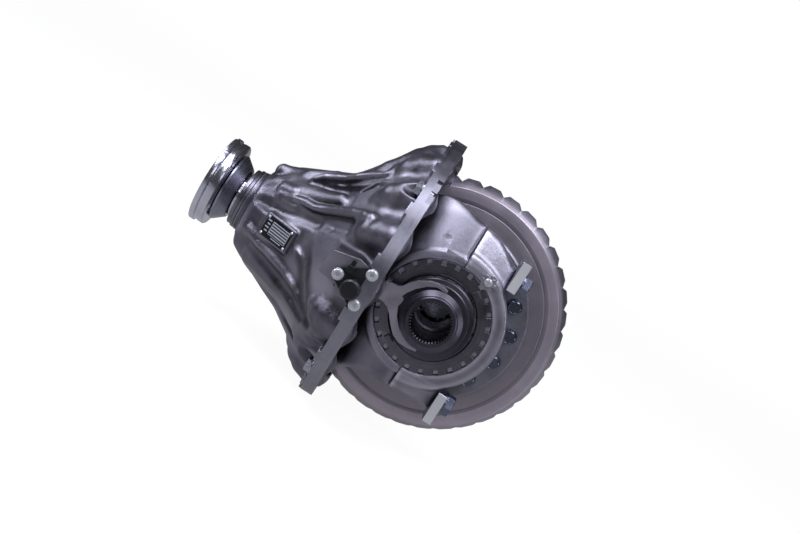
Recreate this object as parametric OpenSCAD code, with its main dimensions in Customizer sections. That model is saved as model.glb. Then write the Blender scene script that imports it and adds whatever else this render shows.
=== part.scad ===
// Rear axle differential carrier assembly: hypoid gear pair, bevel differential, splined lock.
// Origin: centre of the mounting flange's mating face. +X along the drive pinion towards the
// input flange, +Y along the differential axis towards the lock side, +Z up. Millimetres.

/* [Carrier] */
// Outer diameter of the mounting flange
flange_d = 500; // [490:2:510]
// Thickness of the mounting flange
flange_t = 22; // [18:1:26]
// Bolt circle diameter of the mounting flange
flange_pcd = 472; // [468:1:476]
// Number of mounting holes
flange_holes = 16; // [8:1:20]
// Diameter of the mounting holes
flange_hole_d = 17; // [14:1:18]
// Width of each bearing pedestal along the differential axis
leg_w = 56; // [50:1:60]

/* [Hypoid gears] */
// Ring gear teeth
ring_teeth = 36; // [36:1:37]
// Drive pinion teeth
pinion_teeth = 13; // [12:1:13]
// Flank clearance measured along the ring gear's circumference
flank_clear = 0.55; // [0.4:0.05:0.8]

/* [Differential] */
// Side gear teeth
side_teeth = 20; // [20:4:24]
// Planet gear teeth
planet_teeth = 10; // [10:2:12]
// Outer cone distance of the bevel gears
cone_dist = 80; // [78:1:80]
// Diameter of the axle shaft bores in the side gears
axle_bore_d = 60; // [56:1:62]

/* [Input flange] */
// Outer diameter of the input flange
input_d = 165; // [160:1:180]
// Bolt circle diameter of the input flange
input_pcd = 130; // [126:1:134]
// Diameter of the input flange holes
input_hole_d = 13; // [10:1:14]

/* [Differential lock] */
// Travel of the shift fork
lock_travel = 10; // [8:1:10]
// Number of dog teeth
dog_teeth = 24; // [24:12:48]

/* [Hidden] */
$fn = 64;
dx = -98;            // differential axis, X
py = -62; pz = -36;  // pinion axis, Y and Z
rodx = 34; rodz = -15;
lz = 115;            // cap bolt distance from the differential axis
ly = 132;            // pedestal centre, Y
lock_a = 4.7;        // phase of the adjuster castellations

// ---------- placing helpers ----------
module along_y(x = dx, z = 0) translate([x, 0, z]) rotate([-90, 0, 0]) children();
module along_x(y = py, z = pz) translate([0, y, z]) rotate([0, 90, 0]) children();
module cy(r, y0, y1, x = dx, z = 0) translate([x, y0, z]) rotate([-90, 0, 0]) cylinder(r = r, h = y1 - y0);
module cx(r, x0, x1, y = py, z = pz) translate([x0, y, z]) rotate([0, 90, 0]) cylinder(r = r, h = x1 - x0);
module rev_y(p) along_y() rotate_extrude($fn = 96) polygon(p);
module rev_x(p) along_x() rotate_extrude($fn = 96) polygon(p);
module disc_x(x, y, z, r, t = 2) translate([x, y, z]) rotate([0, 90, 0]) cylinder(r = r, h = t, $fn = 48);
module hex_x(x, y, z, af, h) translate([x, y, z]) rotate([0, 90, 0]) cylinder(r = af / sqrt(3), h = h, $fn = 6);
module box(a, b) translate(a) cube([b[0] - a[0], b[1] - a[1], b[2] - a[2]]);
module far() mirror([0, 1, 0]) children();
// outline in X and Z, extruded along Y
module slab_y(p, y0, y1) translate([0, y1, 0]) rotate([90, 0, 0]) linear_extrude(y1 - y0) polygon(p);

// ---------- gear geometry ----------
// A crown gear about Y with its apex at the origin and its teeth facing -Y, and a pinion about a
// line parallel to X through (py, pz). Gear record: [crown teeth, pinion teeth, crown pitch angle,
// spiral constant, middle cone distance, pinion y, pinion z, pitch half angle, flank slope,
// addendum / cone distance, dedendum / cone distance, clearance angle]
HYP = [ring_teeth, pinion_teeth, 70, 0.657, 200, -9.7, -36, 2.3, 0.495 / sin(70), 5 / 232, 14 / 232, flank_clear / 188 * 57.3];
BEV = [side_teeth, planet_teeth, 63.435, 0, 65, 0, 0, 4.3, 0.414 / sin(63.435), 6.2 / 80, 8.4 / 80, 0.35];
function spiral(g, s) = g[3] == 0 ? 0 : g[3] * ln(s / g[4]) * 180 / PI;
function halfw(g, v) = g[7] - v * g[8] * 180 / PI;
function cone_k(g, v) = (sin(g[2]) + v * cos(g[2])) / (cos(g[2]) - v * sin(g[2]));
function cone_r(g, x, c, v) = let(k = cone_k(g, v),
    a = pow(sin(c), 2) - k * k * pow(cos(c), 2),
    b = 2 * g[6] * sin(c) - 2 * k * k * g[5] * cos(c),
    d = x * x + g[6] * g[6] - k * k * g[5] * g[5]) (-b - sqrt(b * b - 4 * a * d)) / (2 * a);
function r_reach(g, x, v) = min([for (c = [-40:2:40]) cone_r(g, x, c, v)]);
// crown coordinates of a pinion point at station x, radius r and position angle c: [v, angle, cone distance]
function crown_at(g, x, r, c) = let(y = g[5] + r * cos(c), z = g[6] + r * sin(c), q = norm([x, z]),
    s = q * sin(g[2]) + y * cos(g[2]), n = q * cos(g[2]) - y * sin(g[2])) [n / s, atan2(-z, x), s];
function flank(g, x, r) = let(
    k = g[0] / g[1],
    hits = [for (c = [-56:1:56]) let(u = crown_at(g, x, r, c))
      if (u[0] > -g[10] * 1.03 && u[0] < g[9] * 1.1)
        let(t = c + k * (u[1] - spiral(g, u[2])), w = k * (halfw(g, u[0]) + g[11])) [t - w, t + w]])
    [max([for (h = hits) h[1]]), min([for (h = hits) h[0]]) + 360 / g[1]];

// pinion head between stations x0 and x1, in the crown's frame; back holds plain [station, radius] rows,
// and with bored set its last row closes onto the first
module pinion_head(g, x0, x1, nx, m, root_c, tip_c, back, bored = false) {
  n = g[1];
  secs = [for (i = [0:nx]) let(x = x0 + (x1 - x0) * i / nx,
      ra = r_reach(g, x, g[9]), rt = r_reach(g, x, -g[10]) - tip_c)
      [x, ra - root_c, [for (j = [0:m]) let(r = ra + 0.35 + (rt - ra - 0.35) * j / m) concat([r], flank(g, x, r))]]];
  tooth = function(sec, t) concat(
      [[sec[1], sec[2][0][1] + t]],
      [for (f = sec[2]) [f[0], f[1] + t]],
      [for (j = [m:-1:0]) [sec[2][j][0], sec[2][j][2] + t]],
      [[sec[1], sec[2][0][2] + t]]);
  outline = function(sec) [for (k = [0:n - 1]) each tooth(sec, k * 360 / n)];
  heel = outline(secs[nx]);
  rows = concat([for (sec = secs) [for (q = outline(sec)) [sec[0], q[0], q[1]]]],
      [for (b = back) [for (q = heel) [b[0], b[1], q[1]]]]);
  N = len(heel); R = len(rows);
  polyhedron(points = [for (row = rows) for (q = row) [q[0], g[5] + q[1] * cos(q[2]), g[6] + q[1] * sin(q[2])]],
    faces = concat(bored ? [] : [[for (i = [0:N - 1]) i]],
      [for (a = [0:bored ? R - 1 : R - 2]) for (i = [0:N - 1]) let(j = (i + 1) % N, b = (a + 1) % R) each [
        [a * N + i, b * N + i, a * N + j], [a * N + j, b * N + i, b * N + j]]],
      bored ? [] : [[for (i = [N - 1:-1:0]) (R - 1) * N + i]]), convexity = 10);
}
// crown gear: s0 to s1 are cone distances of toe and heel; body is the closing outline [radius, y]
module crown_head(g, s0, s1, ns, body) {
  n = g[0];
  vs = [-g[10], g[9], g[9], -g[10]];
  at = function(s, v, a) let(q = s * (sin(g[2]) + v * cos(g[2]))) [q * cos(a), s * (cos(g[2]) - v * sin(g[2])), -q * sin(a)];
  sg = [-1, -1, 1, 1];
  rows = concat(
    [for (i = [0:ns]) let(s = s0 + (s1 - s0) * i / ns)
      [for (k = [0:n - 1]) for (q = [0:3]) at(s, vs[q], spiral(g, s) + k * 360 / n + sg[q] * halfw(g, vs[q]))]],
    [for (b = body) let(s = b[2] == 0 ? s0 : s1)
      [for (k = [0:n - 1]) for (q = [0:3]) let(a = spiral(g, s) + k * 360 / n + sg[q] * halfw(g, vs[q]))
        [b[0] * cos(a), b[1], -b[0] * sin(a)]]]);
  R = len(rows); N = 4 * n;
  polyhedron(points = [for (r = rows) for (p = r) p], faces =
    [for (a = [0:R - 1]) for (i = [0:N - 1]) let(j = (i + 1) % N, b = (a + 1) % R) each [
      [a * N + i, b * N + i, a * N + j], [a * N + j, b * N + i, b * N + j]]], convexity = 10);
}
ring_y = -52.3;      // apex of the ring gear's pitch cone

// ---------- carrier ----------
leg_pts = [[34, 172], [34, 180], [-38, 178], [-74, 168], [-97.8, 165], [-97.8, -139], [-45, -144], [0, -168], [34, -172]];
flange_a0 = 12.75;    // first mounting hole, from +Z towards +Y
jack_a = [46.5, 136.5, 226.5, 316.5];
module ring_at(r, a) translate([0, r * sin(a), r * cos(a)]) children();
module carrier_housing() color([0.42, 0.42, 0.44]) {
  difference() {
    union() {
      disc_x(0, 0, 0, flange_d / 2, flange_t);
      hull() { disc_x(16, 0, 0, 226); disc_x(58, -10, -8, 204); }
      hull() { disc_x(58, -10, -8, 204); disc_x(138, -50, -32, 140); }
      hull() { disc_x(138, -50, -32, 140); disc_x(232, -61, -36, 98); }
      hull() { disc_x(232, -61, -36, 98); disc_x(266, py, pz, 66); }
      cx(58, 260, 278);
      on_plate() translate([-34, -21.5, -12]) cube([68, 43, 15.2]);
      slab_y([[6, 20], [44, 30], [88, 20], [92, -20], [58, -24], [54, -38], [6, -38]], 120, 236);
    }
    hull() { disc_x(-2, 0, 0, 210); disc_x(56, -10, -8, 190); }
    hull() { disc_x(56, -10, -8, 190); disc_x(134, -50, -32, 126); }
    difference() {
      hull() { disc_x(134, -50, -32, 126); disc_x(216, -61, -36, 88); }
      cx(92, 128, 186);
      cx(66, 180, 224);
      for (a = [20, 110, 200, 290]) along_x() rotate([0, 0, a]) translate([-7, 0, 130]) cube([14, 150, 100]);
    }
    cy(226, -10, 62);
    cx(104, 100, 128.5);
    box([-2, 150, -34], [60, 203.5, 16]);
    cx(76, 120, 170);            // inner bearing seat
    cx(50, 120, 230);
    box([-2, 236, -43.6], [30, 255, 31.1]);
    for (i = [0:flange_holes - 1]) ring_at(flange_pcd / 2, flange_a0 + i * 360 / flange_holes) disc_x(flange_t, 0, 0, 16, 40);
    for (a = jack_a) ring_at(flange_pcd / 2, a) disc_x(flange_t, 0, 0, 17, 40);
    cx(58, 222, 256);            // outer bearing seat
    cx(52, 250, 279);            // seal seat
    cy(18, 209, 237, rodx, rodz);
    cy(9.06, 200, 212, rodx, rodz);
    for (p = [[62, -5.6], [17, 20.5], [16, -33]]) cy(4.05, 220, 237, p[0], p[1]);
    for (i = [0:flange_holes - 1]) ring_at(flange_pcd / 2, flange_a0 + i * 360 / flange_holes) disc_x(-1, 0, 0, flange_hole_d / 2, flange_t + 2);
    for (a = jack_a) ring_at(flange_pcd / 2, a) disc_x(-1, 0, 0, 8.1, flange_t + 2);
    for (a = [46.5, 226.5]) rotate([-a, 0, 0]) box([-1, -26, 243], [9, 26, 260]);
  }
  // bearing pedestals
  for (k = [0, 1]) mirror([0, k, 0]) difference() {
    union() {
      intersection() {
        slab_y(leg_pts, ly - leg_w / 2, ly + leg_w / 2);
        cx(218, -99, 40, 0, 0);
      }
      if (k == 0) box([10, 104, -36], [58, 158, 8]);
    }
    cy(93.6, 134, 170);
    cy(90.02, 100, 140);
    for (s = [-1, 1]) cx(10.9, -99, -50, ly, s * lz);
    if (k == 0) { cy(9.06, 100, 160, rodx, rodz); cy(14.5, 140, 160, rodx, rodz); }
    box([-30, 103, -60], [20, 118, 60]);
  }
}
module cap() difference() {
  union() {
    intersection() { cy(118, ly - leg_w / 2, ly + leg_w / 2); box([-230, 90, -130], [dx, 180, 130]); }
    for (s = [-1, 1]) {
      mirror([0, 0, s < 0 ? 1 : 0]) {
        if (s < 0) box([-172, 106, 97], [-98, 158, 139]);
        else intersection() {
          slab_y([[-172, 97], [-98, 97], [-98, 165], [-127, 157.5], [-147, 146], [-164, 134], [-172, 132]], 106, 158);
          cx(218, -180, -90, 0, 0);
        }
        box([-188, 106, 98], [-171.5, 158.5, 152]);
      }
    }
  }
  cy(93.6, 134, 170);
  cy(90.02, 100, 140);
  for (s = [-1, 1]) cx(11.2, -190, -90, ly, s * lz);
  along_y() rotate([0, 0, lock_a + 240]) translate([104, 0, 146]) cylinder(r = 4.05, h = 20);
  translate([-230, 158.5, -16]) cube([22, 5, 32]);
}
module bearing_cap_near() color([0.4, 0.4, 0.42]) cap();
module bearing_cap_far() color([0.4, 0.4, 0.42]) far() cap();
module cap_bolts() color([0.16, 0.2, 0.34]) for (k = [0, 1]) mirror([0, k, 0]) for (s = [-1, 1]) {
  cx(10.85, -189, -56, ly, s * lz);
  cx(19, -191.5, -188, ly, s * lz);
  hex_x(-204.5, ly, s * lz, 32, 13.5);
}
module adjuster() {
  difference() {
    cy(93.5, 146, 164);
    cy(71, 140, 170);
    for (i = [0:23]) along_y() rotate([0, 0, i * 15 + lock_a]) translate([85.5, -4.5, 155]) cube([12, 9, 12]);
  }
  for (a = [58.5, 238.5]) along_y() rotate([0, 0, a]) translate([73, -7, 163]) cube([10, 14, 7]);
}
module adjuster_near() color([0.22, 0.22, 0.24]) adjuster();
module adjuster_far() color([0.22, 0.22, 0.24]) far() adjuster();
// locking plates: a radial tongue sits in one castellation of the adjuster
module lock_pos() along_y() rotate([0, 0, lock_a + 240]) translate([104, 0, 0]) children();
module adjuster_locks() color([0.5, 0.5, 0.52]) for (k = [0, 1]) mirror([0, k, 0]) difference() {
  union() {
    lock_pos() for (a = [68, 112]) rotate([0, 0, a]) translate([-13, -3.6, 160.05]) cube([26, 7.2, 3.4]);
    lock_pos() translate([-16.8, -4, 160.05]) cube([29, 8, 3.4]);
    lock_pos() translate([0, 0, 160.05]) cylinder(r = 7.5, h = 3.4);
  }
  lock_pos() translate([0, 0, 159]) cylinder(r = 4.2, h = 6);
}
module adjuster_lock_screws() color([0.75, 0.76, 0.78]) for (k = [0, 1]) mirror([0, k, 0]) lock_pos() {
  translate([0, 0, 163.5]) cylinder(r = 6.6, h = 4.6);
  translate([0, 0, 148]) cylinder(r = 4, h = 16);
}
// ---------- tapered roller bearings, [inner radius, outer radius, width, roller angle offset, count] ----------
// built about Z: big end at z = 0, small end at z = w
function rb_mid(ri, ro) = (ri + ro) / 2;
module b_cup(ri, ro, w) rotate_extrude($fn = 96) polygon([[ro, 3], [ro, w], [rb_mid(ri, ro) + 4.6, w], [rb_mid(ri, ro) + 10.6, 3]]);
module b_cone(ri, ro, w) rotate_extrude($fn = 96) polygon([[ri, 0], [rb_mid(ri, ro) + 4, 0], [rb_mid(ri, ro) + 4, 3], [rb_mid(ri, ro) - 4.4, 3],
  [rb_mid(ri, ro) - 8.0, w - 4], [rb_mid(ri, ro) - 6.5, w - 4], [rb_mid(ri, ro) - 6.5, w], [ri, w]]);
module b_rollers(ri, ro, w, n) for (i = [0:n - 1]) rotate([0, 0, i * 360 / n]) {
  a = atan((6.0 + 3.6) / 2 / (w - 7));
  translate([rb_mid(ri, ro) + 2.9, 0, 4.4]) rotate([0, -a, 0]) cylinder(r1 = 6.55, r2 = 5.55, h = w - 9.6);
}
module face_y(y) translate([dx, y, 0]) rotate([-90, 0, 0]) children();
module near_bearing() translate([dx, 106, 0]) rotate([-90, 0, 0]) children();
module in_bearing() translate([134, py, pz]) rotate([0, 90, 0]) children();
module out_bearing() translate([256, py, pz]) rotate([0, -90, 0]) children();
module diff_cup_near() color([0.6, 0.6, 0.62]) near_bearing() b_cup(60, 90, 40);
module diff_cup_far() color([0.6, 0.6, 0.62]) far() near_bearing() b_cup(60, 90, 40);
module diff_cone_near() color([0.62, 0.62, 0.64]) near_bearing() b_cone(60, 90, 40);
module diff_cone_far() color([0.62, 0.62, 0.64]) far() near_bearing() b_cone(60, 90, 40);
module diff_rollers_near() color([0.7, 0.7, 0.72]) near_bearing() b_rollers(60, 90, 40, 30);
module diff_rollers_far() color([0.7, 0.7, 0.72]) far() near_bearing() b_rollers(60, 90, 40, 30);
module pinion_cup_inner() color([0.6, 0.6, 0.62]) in_bearing() b_cup(44, 76, 36);
module pinion_cone_inner() color([0.62, 0.62, 0.64]) in_bearing() b_cone(44, 76, 36);
module pinion_rollers_inner() color([0.7, 0.7, 0.72]) in_bearing() b_rollers(44, 76, 36, 24);
module pinion_cup_outer() color([0.6, 0.6, 0.62]) out_bearing() b_cup(30, 58, 34);
module pinion_cone_outer() color([0.62, 0.62, 0.64]) out_bearing() b_cone(30, 58, 34);
module pinion_rollers_outer() color([0.7, 0.7, 0.72]) out_bearing() b_rollers(30, 58, 34, 18);
module pinion_seal() color([0.12, 0.12, 0.13]) rev_x([[40.15, 264], [44, 262], [51.95, 262], [51.95, 276], [43, 276], [41, 270]]);
module seal_retainer() color([0.3, 0.3, 0.31]) rev_x([[47.5, 278], [57, 278], [57, 283], [54, 285], [54, 291], [47.5, 291]]);
module jack_screws() color([0.16, 0.2, 0.34]) for (a = jack_a) ring_at(flange_pcd / 2, a) {
  disc_x(2, 0, 0, 8, 24);
  disc_x(22.05, 0, 0, 14, 2.4);
  hex_x(24, 0, 0, 22, 10);
}
// name plate on the housing's sloping side; the local frame has +Z out of the metal
module on_plate() translate([192, 60, -37]) rotate([-90, 0, 0]) rotate([0, 29.4, 0]) children();
module name_plate() color([0.05, 0.05, 0.06]) on_plate() difference() {
  translate([-31, -18.5, 3.2]) cube([62, 37, 1.2]);
  for (x = [-28, 28]) for (y = [-15.5, 15.5]) translate([x, y, 0]) cylinder(r = 1.6, h = 10);
}
module plate_rivets() color([0.75, 0.76, 0.78]) on_plate() for (x = [-28, 28]) for (y = [-15.5, 15.5]) translate([x, y, 3.2]) {
  cylinder(r = 1.5, h = 1.2);
  translate([0, 0, 1.2]) cylinder(r1 = 2.6, r2 = 1.6, h = 0.9);
}
// ---------- lock actuator cover ----------
cover_scr = [[62, -5.6], [17, 20.5], [16, -33]];
module lock_cover() color([0.05, 0.05, 0.055]) difference() {
  union() {
    hull() for (p = cover_scr) translate([p[0], 236, p[1]]) rotate([-90, 0, 0]) cylinder(r = 10, h = 9, $fn = 32);
    cy(15.8, 240, 258, rodx, rodz);
    translate([rodx, 258, rodz]) rotate([-90, 0, 0]) cylinder(r1 = 15.8, r2 = 13, h = 3);
    for (p = cover_scr) cy(9.4, 244, 249, p[0], p[1]);
  }
  cy(13, 235, 250, rodx, rodz);
  for (p = cover_scr) cy(4.3, 235, 260, p[0], p[1]);
}
module lock_cover_screws() color([0.8, 0.81, 0.84]) for (p = cover_scr) {
  cy(4, 222, 249, p[0], p[1]);
  difference() { cy(8.6, 249.02, 256, p[0], p[1]); cy(4.4, 252.5, 257, p[0], p[1]); }
}
module lock_switch() color([0.05, 0.05, 0.055]) {
  box([44, 245.05, 6], [55, 256, 17]);
  box([46, 247, 17], [53, 254, 27]);
}
// ---------- differential case ----------
module case_half_near() color([0.36, 0.36, 0.38]) difference() {
  rev_y([[0, 0.02], [115.9, 0.02], [115.9, 56], [155, 56], [155, 69], [152, 72], [113, 72], [94, 90], [78, 100], [72, 106], [60, 106],
    [60, 150], [66, 150], [66, 162.5], [0, 162.5]]);
  along_y() intersection() { sphere(r = 91.6, $fn = 96); translate([0, 0, -58]) cylinder(r = 100, h = 116); }
  cy(47, 40, 104);
  cy(36, 90, 170);
  for (i = [0:3]) along_y() rotate([0, 0, 90 * i]) rotate([0, 90, 0]) cylinder(r = 14.02, h = 130);
  for (i = [0:7]) along_y() rotate([0, 0, 22.5 + 45 * i]) translate([103.5, 0, -1]) cylinder(r = 5, h = 34);
  for (i = [0:15]) along_y() rotate([0, 0, 11.25 + 22.5 * i]) translate([129.5, 0, 50]) cylinder(r = 8.1, h = 30);
  for (i = [0:dog_teeth - 1]) along_y() rotate([0, 0, i * 360 / dog_teeth]) translate([44, -4.6, 156.5]) cube([30, 9.2, 10]);
}
module case_half_far() color([0.36, 0.36, 0.38]) difference() {
  rev_y([[0, -0.02], [115.9, -0.02], [115.9, -34], [100, -62], [86, -84], [78, -98], [72, -106], [60, -106], [60, -150], [0, -150]]);
  along_y() intersection() { sphere(r = 91.6, $fn = 96); translate([0, 0, -58]) cylinder(r = 100, h = 116); }
  cy(47, -104, -40);
  cy(36, -160, -90);
  for (i = [0:3]) along_y() rotate([0, 0, 90 * i]) rotate([0, 90, 0]) cylinder(r = 14.02, h = 130);
  for (i = [0:7]) along_y() rotate([0, 0, 22.5 + 45 * i]) translate([103.5, 0, -60]) { cylinder(r = 5.2, h = 70); translate([0, 0, -10]) cylinder(r = 10.5, h = 48); }
}
module case_bolts() color([0.16, 0.2, 0.34]) for (i = [0:7]) along_y() rotate([0, 0, 22.5 + 45 * i]) translate([103.5, 0, 0]) {
  translate([0, 0, -22]) cylinder(r = 4.95, h = 50);
  translate([0, 0, -30]) cylinder(r = 9, h = 8);
}
module ring_gear() color([0.5, 0.49, 0.5]) difference() {
  translate([dx, ring_y, 0]) crown_head(HYP, 165, 232, 6, [[210.5, 97.5, 1], [204, 104, 1], [204, 107, 1], [202.5, 108.3, 1], [114, 108.3, 0], [114, 69, 0], [150, 67.3, 0]]);
  cy(116, 10, 60);
  for (i = [0:15]) along_y() rotate([0, 0, 11.25 + 22.5 * i]) translate([129.5, 0, 30]) cylinder(r = 7.6, h = 30);
}
module ring_gear_bolts() color([0.16, 0.2, 0.34]) for (i = [0:15]) along_y() rotate([0, 0, 11.25 + 22.5 * i]) translate([129.5, 0, 0]) {
  translate([0, 0, 34]) cylinder(r = 7.5, h = 40);
  translate([0, 0, 72.02]) cylinder(r = 14, h = 3);
  translate([0, 0, 75]) cylinder(r = 12.1, h = 11, $fn = 6);
}
// ---------- spider, planets and side gears ----------
module spider_cross() color([0.6, 0.6, 0.62]) {
  for (i = [0:1]) along_y() rotate([0, 0, 90 * i]) rotate([0, 90, 0]) translate([0, 0, -114]) cylinder(r = 14, h = 228);
  cy(27, -14, 14);
}
module side_gear(r) difference() {
  union() {
    translate([dx, 0, 0]) crown_head(BEV, 50, 80, 2, [[68, 50, 1], [65, 56, 1], [28, 56, 0], [28, 30, 0], [34, 30, 0]]);
    cy(46.9, 54, 95);
  }
  cy(r, 10, 100);
}
// the lock side's shaft is a little thicker, so the two shafts can't be swapped
module side_gear_near() color([0.55, 0.55, 0.57]) side_gear(axle_bore_d / 2 + 0.5);
module side_gear_far() color([0.55, 0.55, 0.57]) far() side_gear(axle_bore_d / 2);
module planet() pinion_head(BEV, 44, 74.5, 2, 3, 1.2, 1.2, [[74.5, 28.5], [84.3, 28.5], [87.4, 16.6], [87.4, 14.2], [44, 14.2]], bored = true);
module planet_gear_front() color([0.56, 0.56, 0.58]) translate([dx, 0, 0]) planet();
module planet_gear_bottom() color([0.56, 0.56, 0.58]) translate([dx, 0, 0]) rotate([0, 90, 0]) planet();
module planet_gear_rear() color([0.56, 0.56, 0.58]) translate([dx, 0, 0]) rotate([0, 180, 0]) planet();
module planet_gear_top() color([0.56, 0.56, 0.58]) translate([dx, 0, 0]) rotate([0, 270, 0]) planet();
module side_washer_near() color([0.7, 0.55, 0.3]) rev_y([[48, 56.2], [66, 56.2], [66, 57.9], [48, 57.9]]);
module side_washer_far() color([0.7, 0.55, 0.3]) far() rev_y([[48, 56.2], [66, 56.2], [66, 57.9], [48, 57.9]]);
module planet_washers() color([0.7, 0.55, 0.3]) for (i = [0:3]) along_y() rotate([0, 0, 90 * i]) rotate([0, 90, 0])
  rotate_extrude() polygon(concat([for (a = [9.1:2:19.1]) [91.2 * sin(a), 91.2 * cos(a)]], [for (a = [19.1:-2:9.1]) [89.4 * sin(a), 89.4 * cos(a)]]));
// ---------- drive pinion line ----------
module drive_pinion() color([0.45, 0.45, 0.47]) difference() {
  translate([dx, ring_y, 0]) pinion_head(HYP, 148, 221, 12, 4, 2.2, 2.2, [[221, 62], [454, 62]]);
  rev_x([[120, 124], [60, 124], [60, 130], [54, 134], [44, 134], [44, 180], [36, 184], [36, 212], [30, 216], [30, 258], [27, 262], [27, 326],
    [19.9, 330], [19.9, 353], [17, 355.5], [17, 358], [120, 358]]);
}
module pinion_spacer() color([0.5, 0.5, 0.52]) rev_x([[30, 216.02], [36, 216.02], [36, 221.95], [30, 221.95]]);
module input_flange() color([0.78, 0.78, 0.8]) difference() {
  union() {
    rev_x([[27.02, 262], [27.02, 328], [29, 328], [29, 346], [38, 352], [82, 352], [82.5, 350.5], [82.5, 343], [79, 341], [79, 337], [80, 335], [80, 327], [78, 325],
      [56, 322], [46.5, 312], [46.3, 299], [40.1, 297], [40.1, 262]]);
  }
  for (a = [45:90:315]) along_x() rotate([0, 0, a]) translate([input_pcd / 2, 0, 318]) cylinder(r = input_hole_d / 2, h = 40);
  for (a = [0:15:75]) if (a != 45) along_x() for (s = [-1, 1]) translate([-90, s * (a / 75 * 60 + 8) - 1.2, 350.4]) cube([180, 2.4, 3]);
  for (a = [0, 180]) along_x() rotate([0, 0, a]) translate([74, -11, 340]) cube([20, 22, 20]);
}
module dust_deflector() color([0.35, 0.35, 0.36]) rev_x([[46.6, 299], [48.6, 299], [64, 318], [64, 321], [62, 321], [47, 303]]);
module flange_washer() color([0.7, 0.7, 0.72]) rev_x([[20.1, 330.05], [28.6, 330.05], [28.6, 334], [20.1, 334]]);
module flange_nut() color([0.62, 0.62, 0.64]) difference() { hex_x(334.02, py, pz, 44, 15); cx(19.95, 330, 352); }
// ---------- lock ----------
fork_pts = [[34, 5], [10, 11], [-1, 11], [-8, 17], [-17, 17.8], [-25, 18.8], [-31, 23], [-38, 34], [-49.5, 44.8], [-65.5, 53.4], [-76.3, 56], [-88, 55.6], [-95, 53.4],
  [-96, 49], [-86, 49.6], [-78, 50.2], [-64.5, 43], [-50.6, 30], [-42.4, 17.5], [-39, 9], [-44, 5.4], [-43.6, 0.4], [-42, -8.3], [-49.2, -22.8], [-60.3, -35], [-74.6, -44.5],
  [-89, -49.2], [-102, -49.2], [-103, -54], [-87, -56.6], [-72.2, -56], [-58.2, -50], [-46.6, -38.5], [-36.7, -26], [-27.6, -17.5], [-18, -14], [-4, -13.5], [8, -15], [20, -26], [34, -33]];
module shift_fork() color([0.5, 0.47, 0.43]) difference() {
  union() {
    slab_y(fork_pts, 188, 198);
    cy(18, 184, 202.5, rodx, rodz);
  }
  cy(9, 180, 210, rodx, rodz);
}
module shift_rod() color([0.65, 0.65, 0.67]) cy(8.98, 116, 221, rodx, rodz);
module lock_piston() color([0.7, 0.7, 0.72]) difference() {
  cy(17.9, 221.02, 233, rodx, rodz);
  along_y(rodx, rodz) translate([0, 0, 225.5]) difference() { cylinder(r = 20, h = 4); translate([0, 0, -1]) cylinder(r = 15.5, h = 6); }
}
module piston_seal() color([0.08, 0.08, 0.08]) along_y(rodx, rodz) translate([0, 0, 227.5]) rotate_extrude() translate([16.6, 0]) circle(r = 1.1, $fn = 24);
module lock_spring() color([0.5, 0.5, 0.52]) for (i = [0:6]) along_y(rodx, rodz) translate([0, 0, 153.6 + i * 4.6]) rotate_extrude() translate([11.6, 0]) circle(r = 1.4, $fn = 24);
module lock_sleeve() color([0.42, 0.4, 0.39]) difference() {
  union() {
    rev_y([[31, 173], [62, 173], [62, 174], [66.7, 176], [66.7, 182], [63, 186], [47.4, 186.2], [47.4, 200.2], [49.8, 200.2], [49.8, 201.5], [44, 205], [41, 207], [38, 213], [31, 213]]);
    difference() {
      cy(65.5, 167.5, 173.01);
      for (i = [0:dog_teeth - 1]) along_y() rotate([0, 0, (i + 0.5) * 360 / dog_teeth]) translate([44, -4.7, 160]) cube([30, 9.4, 13.01]);
      cy(52, 160, 173.01);
    }
  }
  cy(31, 160, 220);
}

carrier_housing();
bearing_cap_near();
bearing_cap_far();
cap_bolts();
adjuster_near();
adjuster_far();
adjuster_locks();
adjuster_lock_screws();
diff_cup_near();
diff_cup_far();
pinion_cup_inner();
pinion_cup_outer();
pinion_seal();
seal_retainer();
jack_screws();
name_plate();
plate_rivets();
lock_cover();
lock_cover_screws();
lock_switch();
case_half_near();
case_half_far();
case_bolts();
ring_gear();
ring_gear_bolts();
spider_cross();
side_washer_near();
side_washer_far();
planet_washers();
diff_cone_near();
diff_cone_far();
diff_rollers_near();
diff_rollers_far();
side_gear_near();
side_gear_far();
planet_gear_front();
planet_gear_rear();
planet_gear_top();
planet_gear_bottom();
drive_pinion();
pinion_cone_inner();
pinion_cone_outer();
pinion_rollers_inner();
pinion_rollers_outer();
pinion_spacer();
input_flange();
dust_deflector();
flange_washer();
flange_nut();
shift_fork();
shift_rod();
lock_piston();
piston_seal();
lock_spring();
lock_sleeve();
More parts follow.
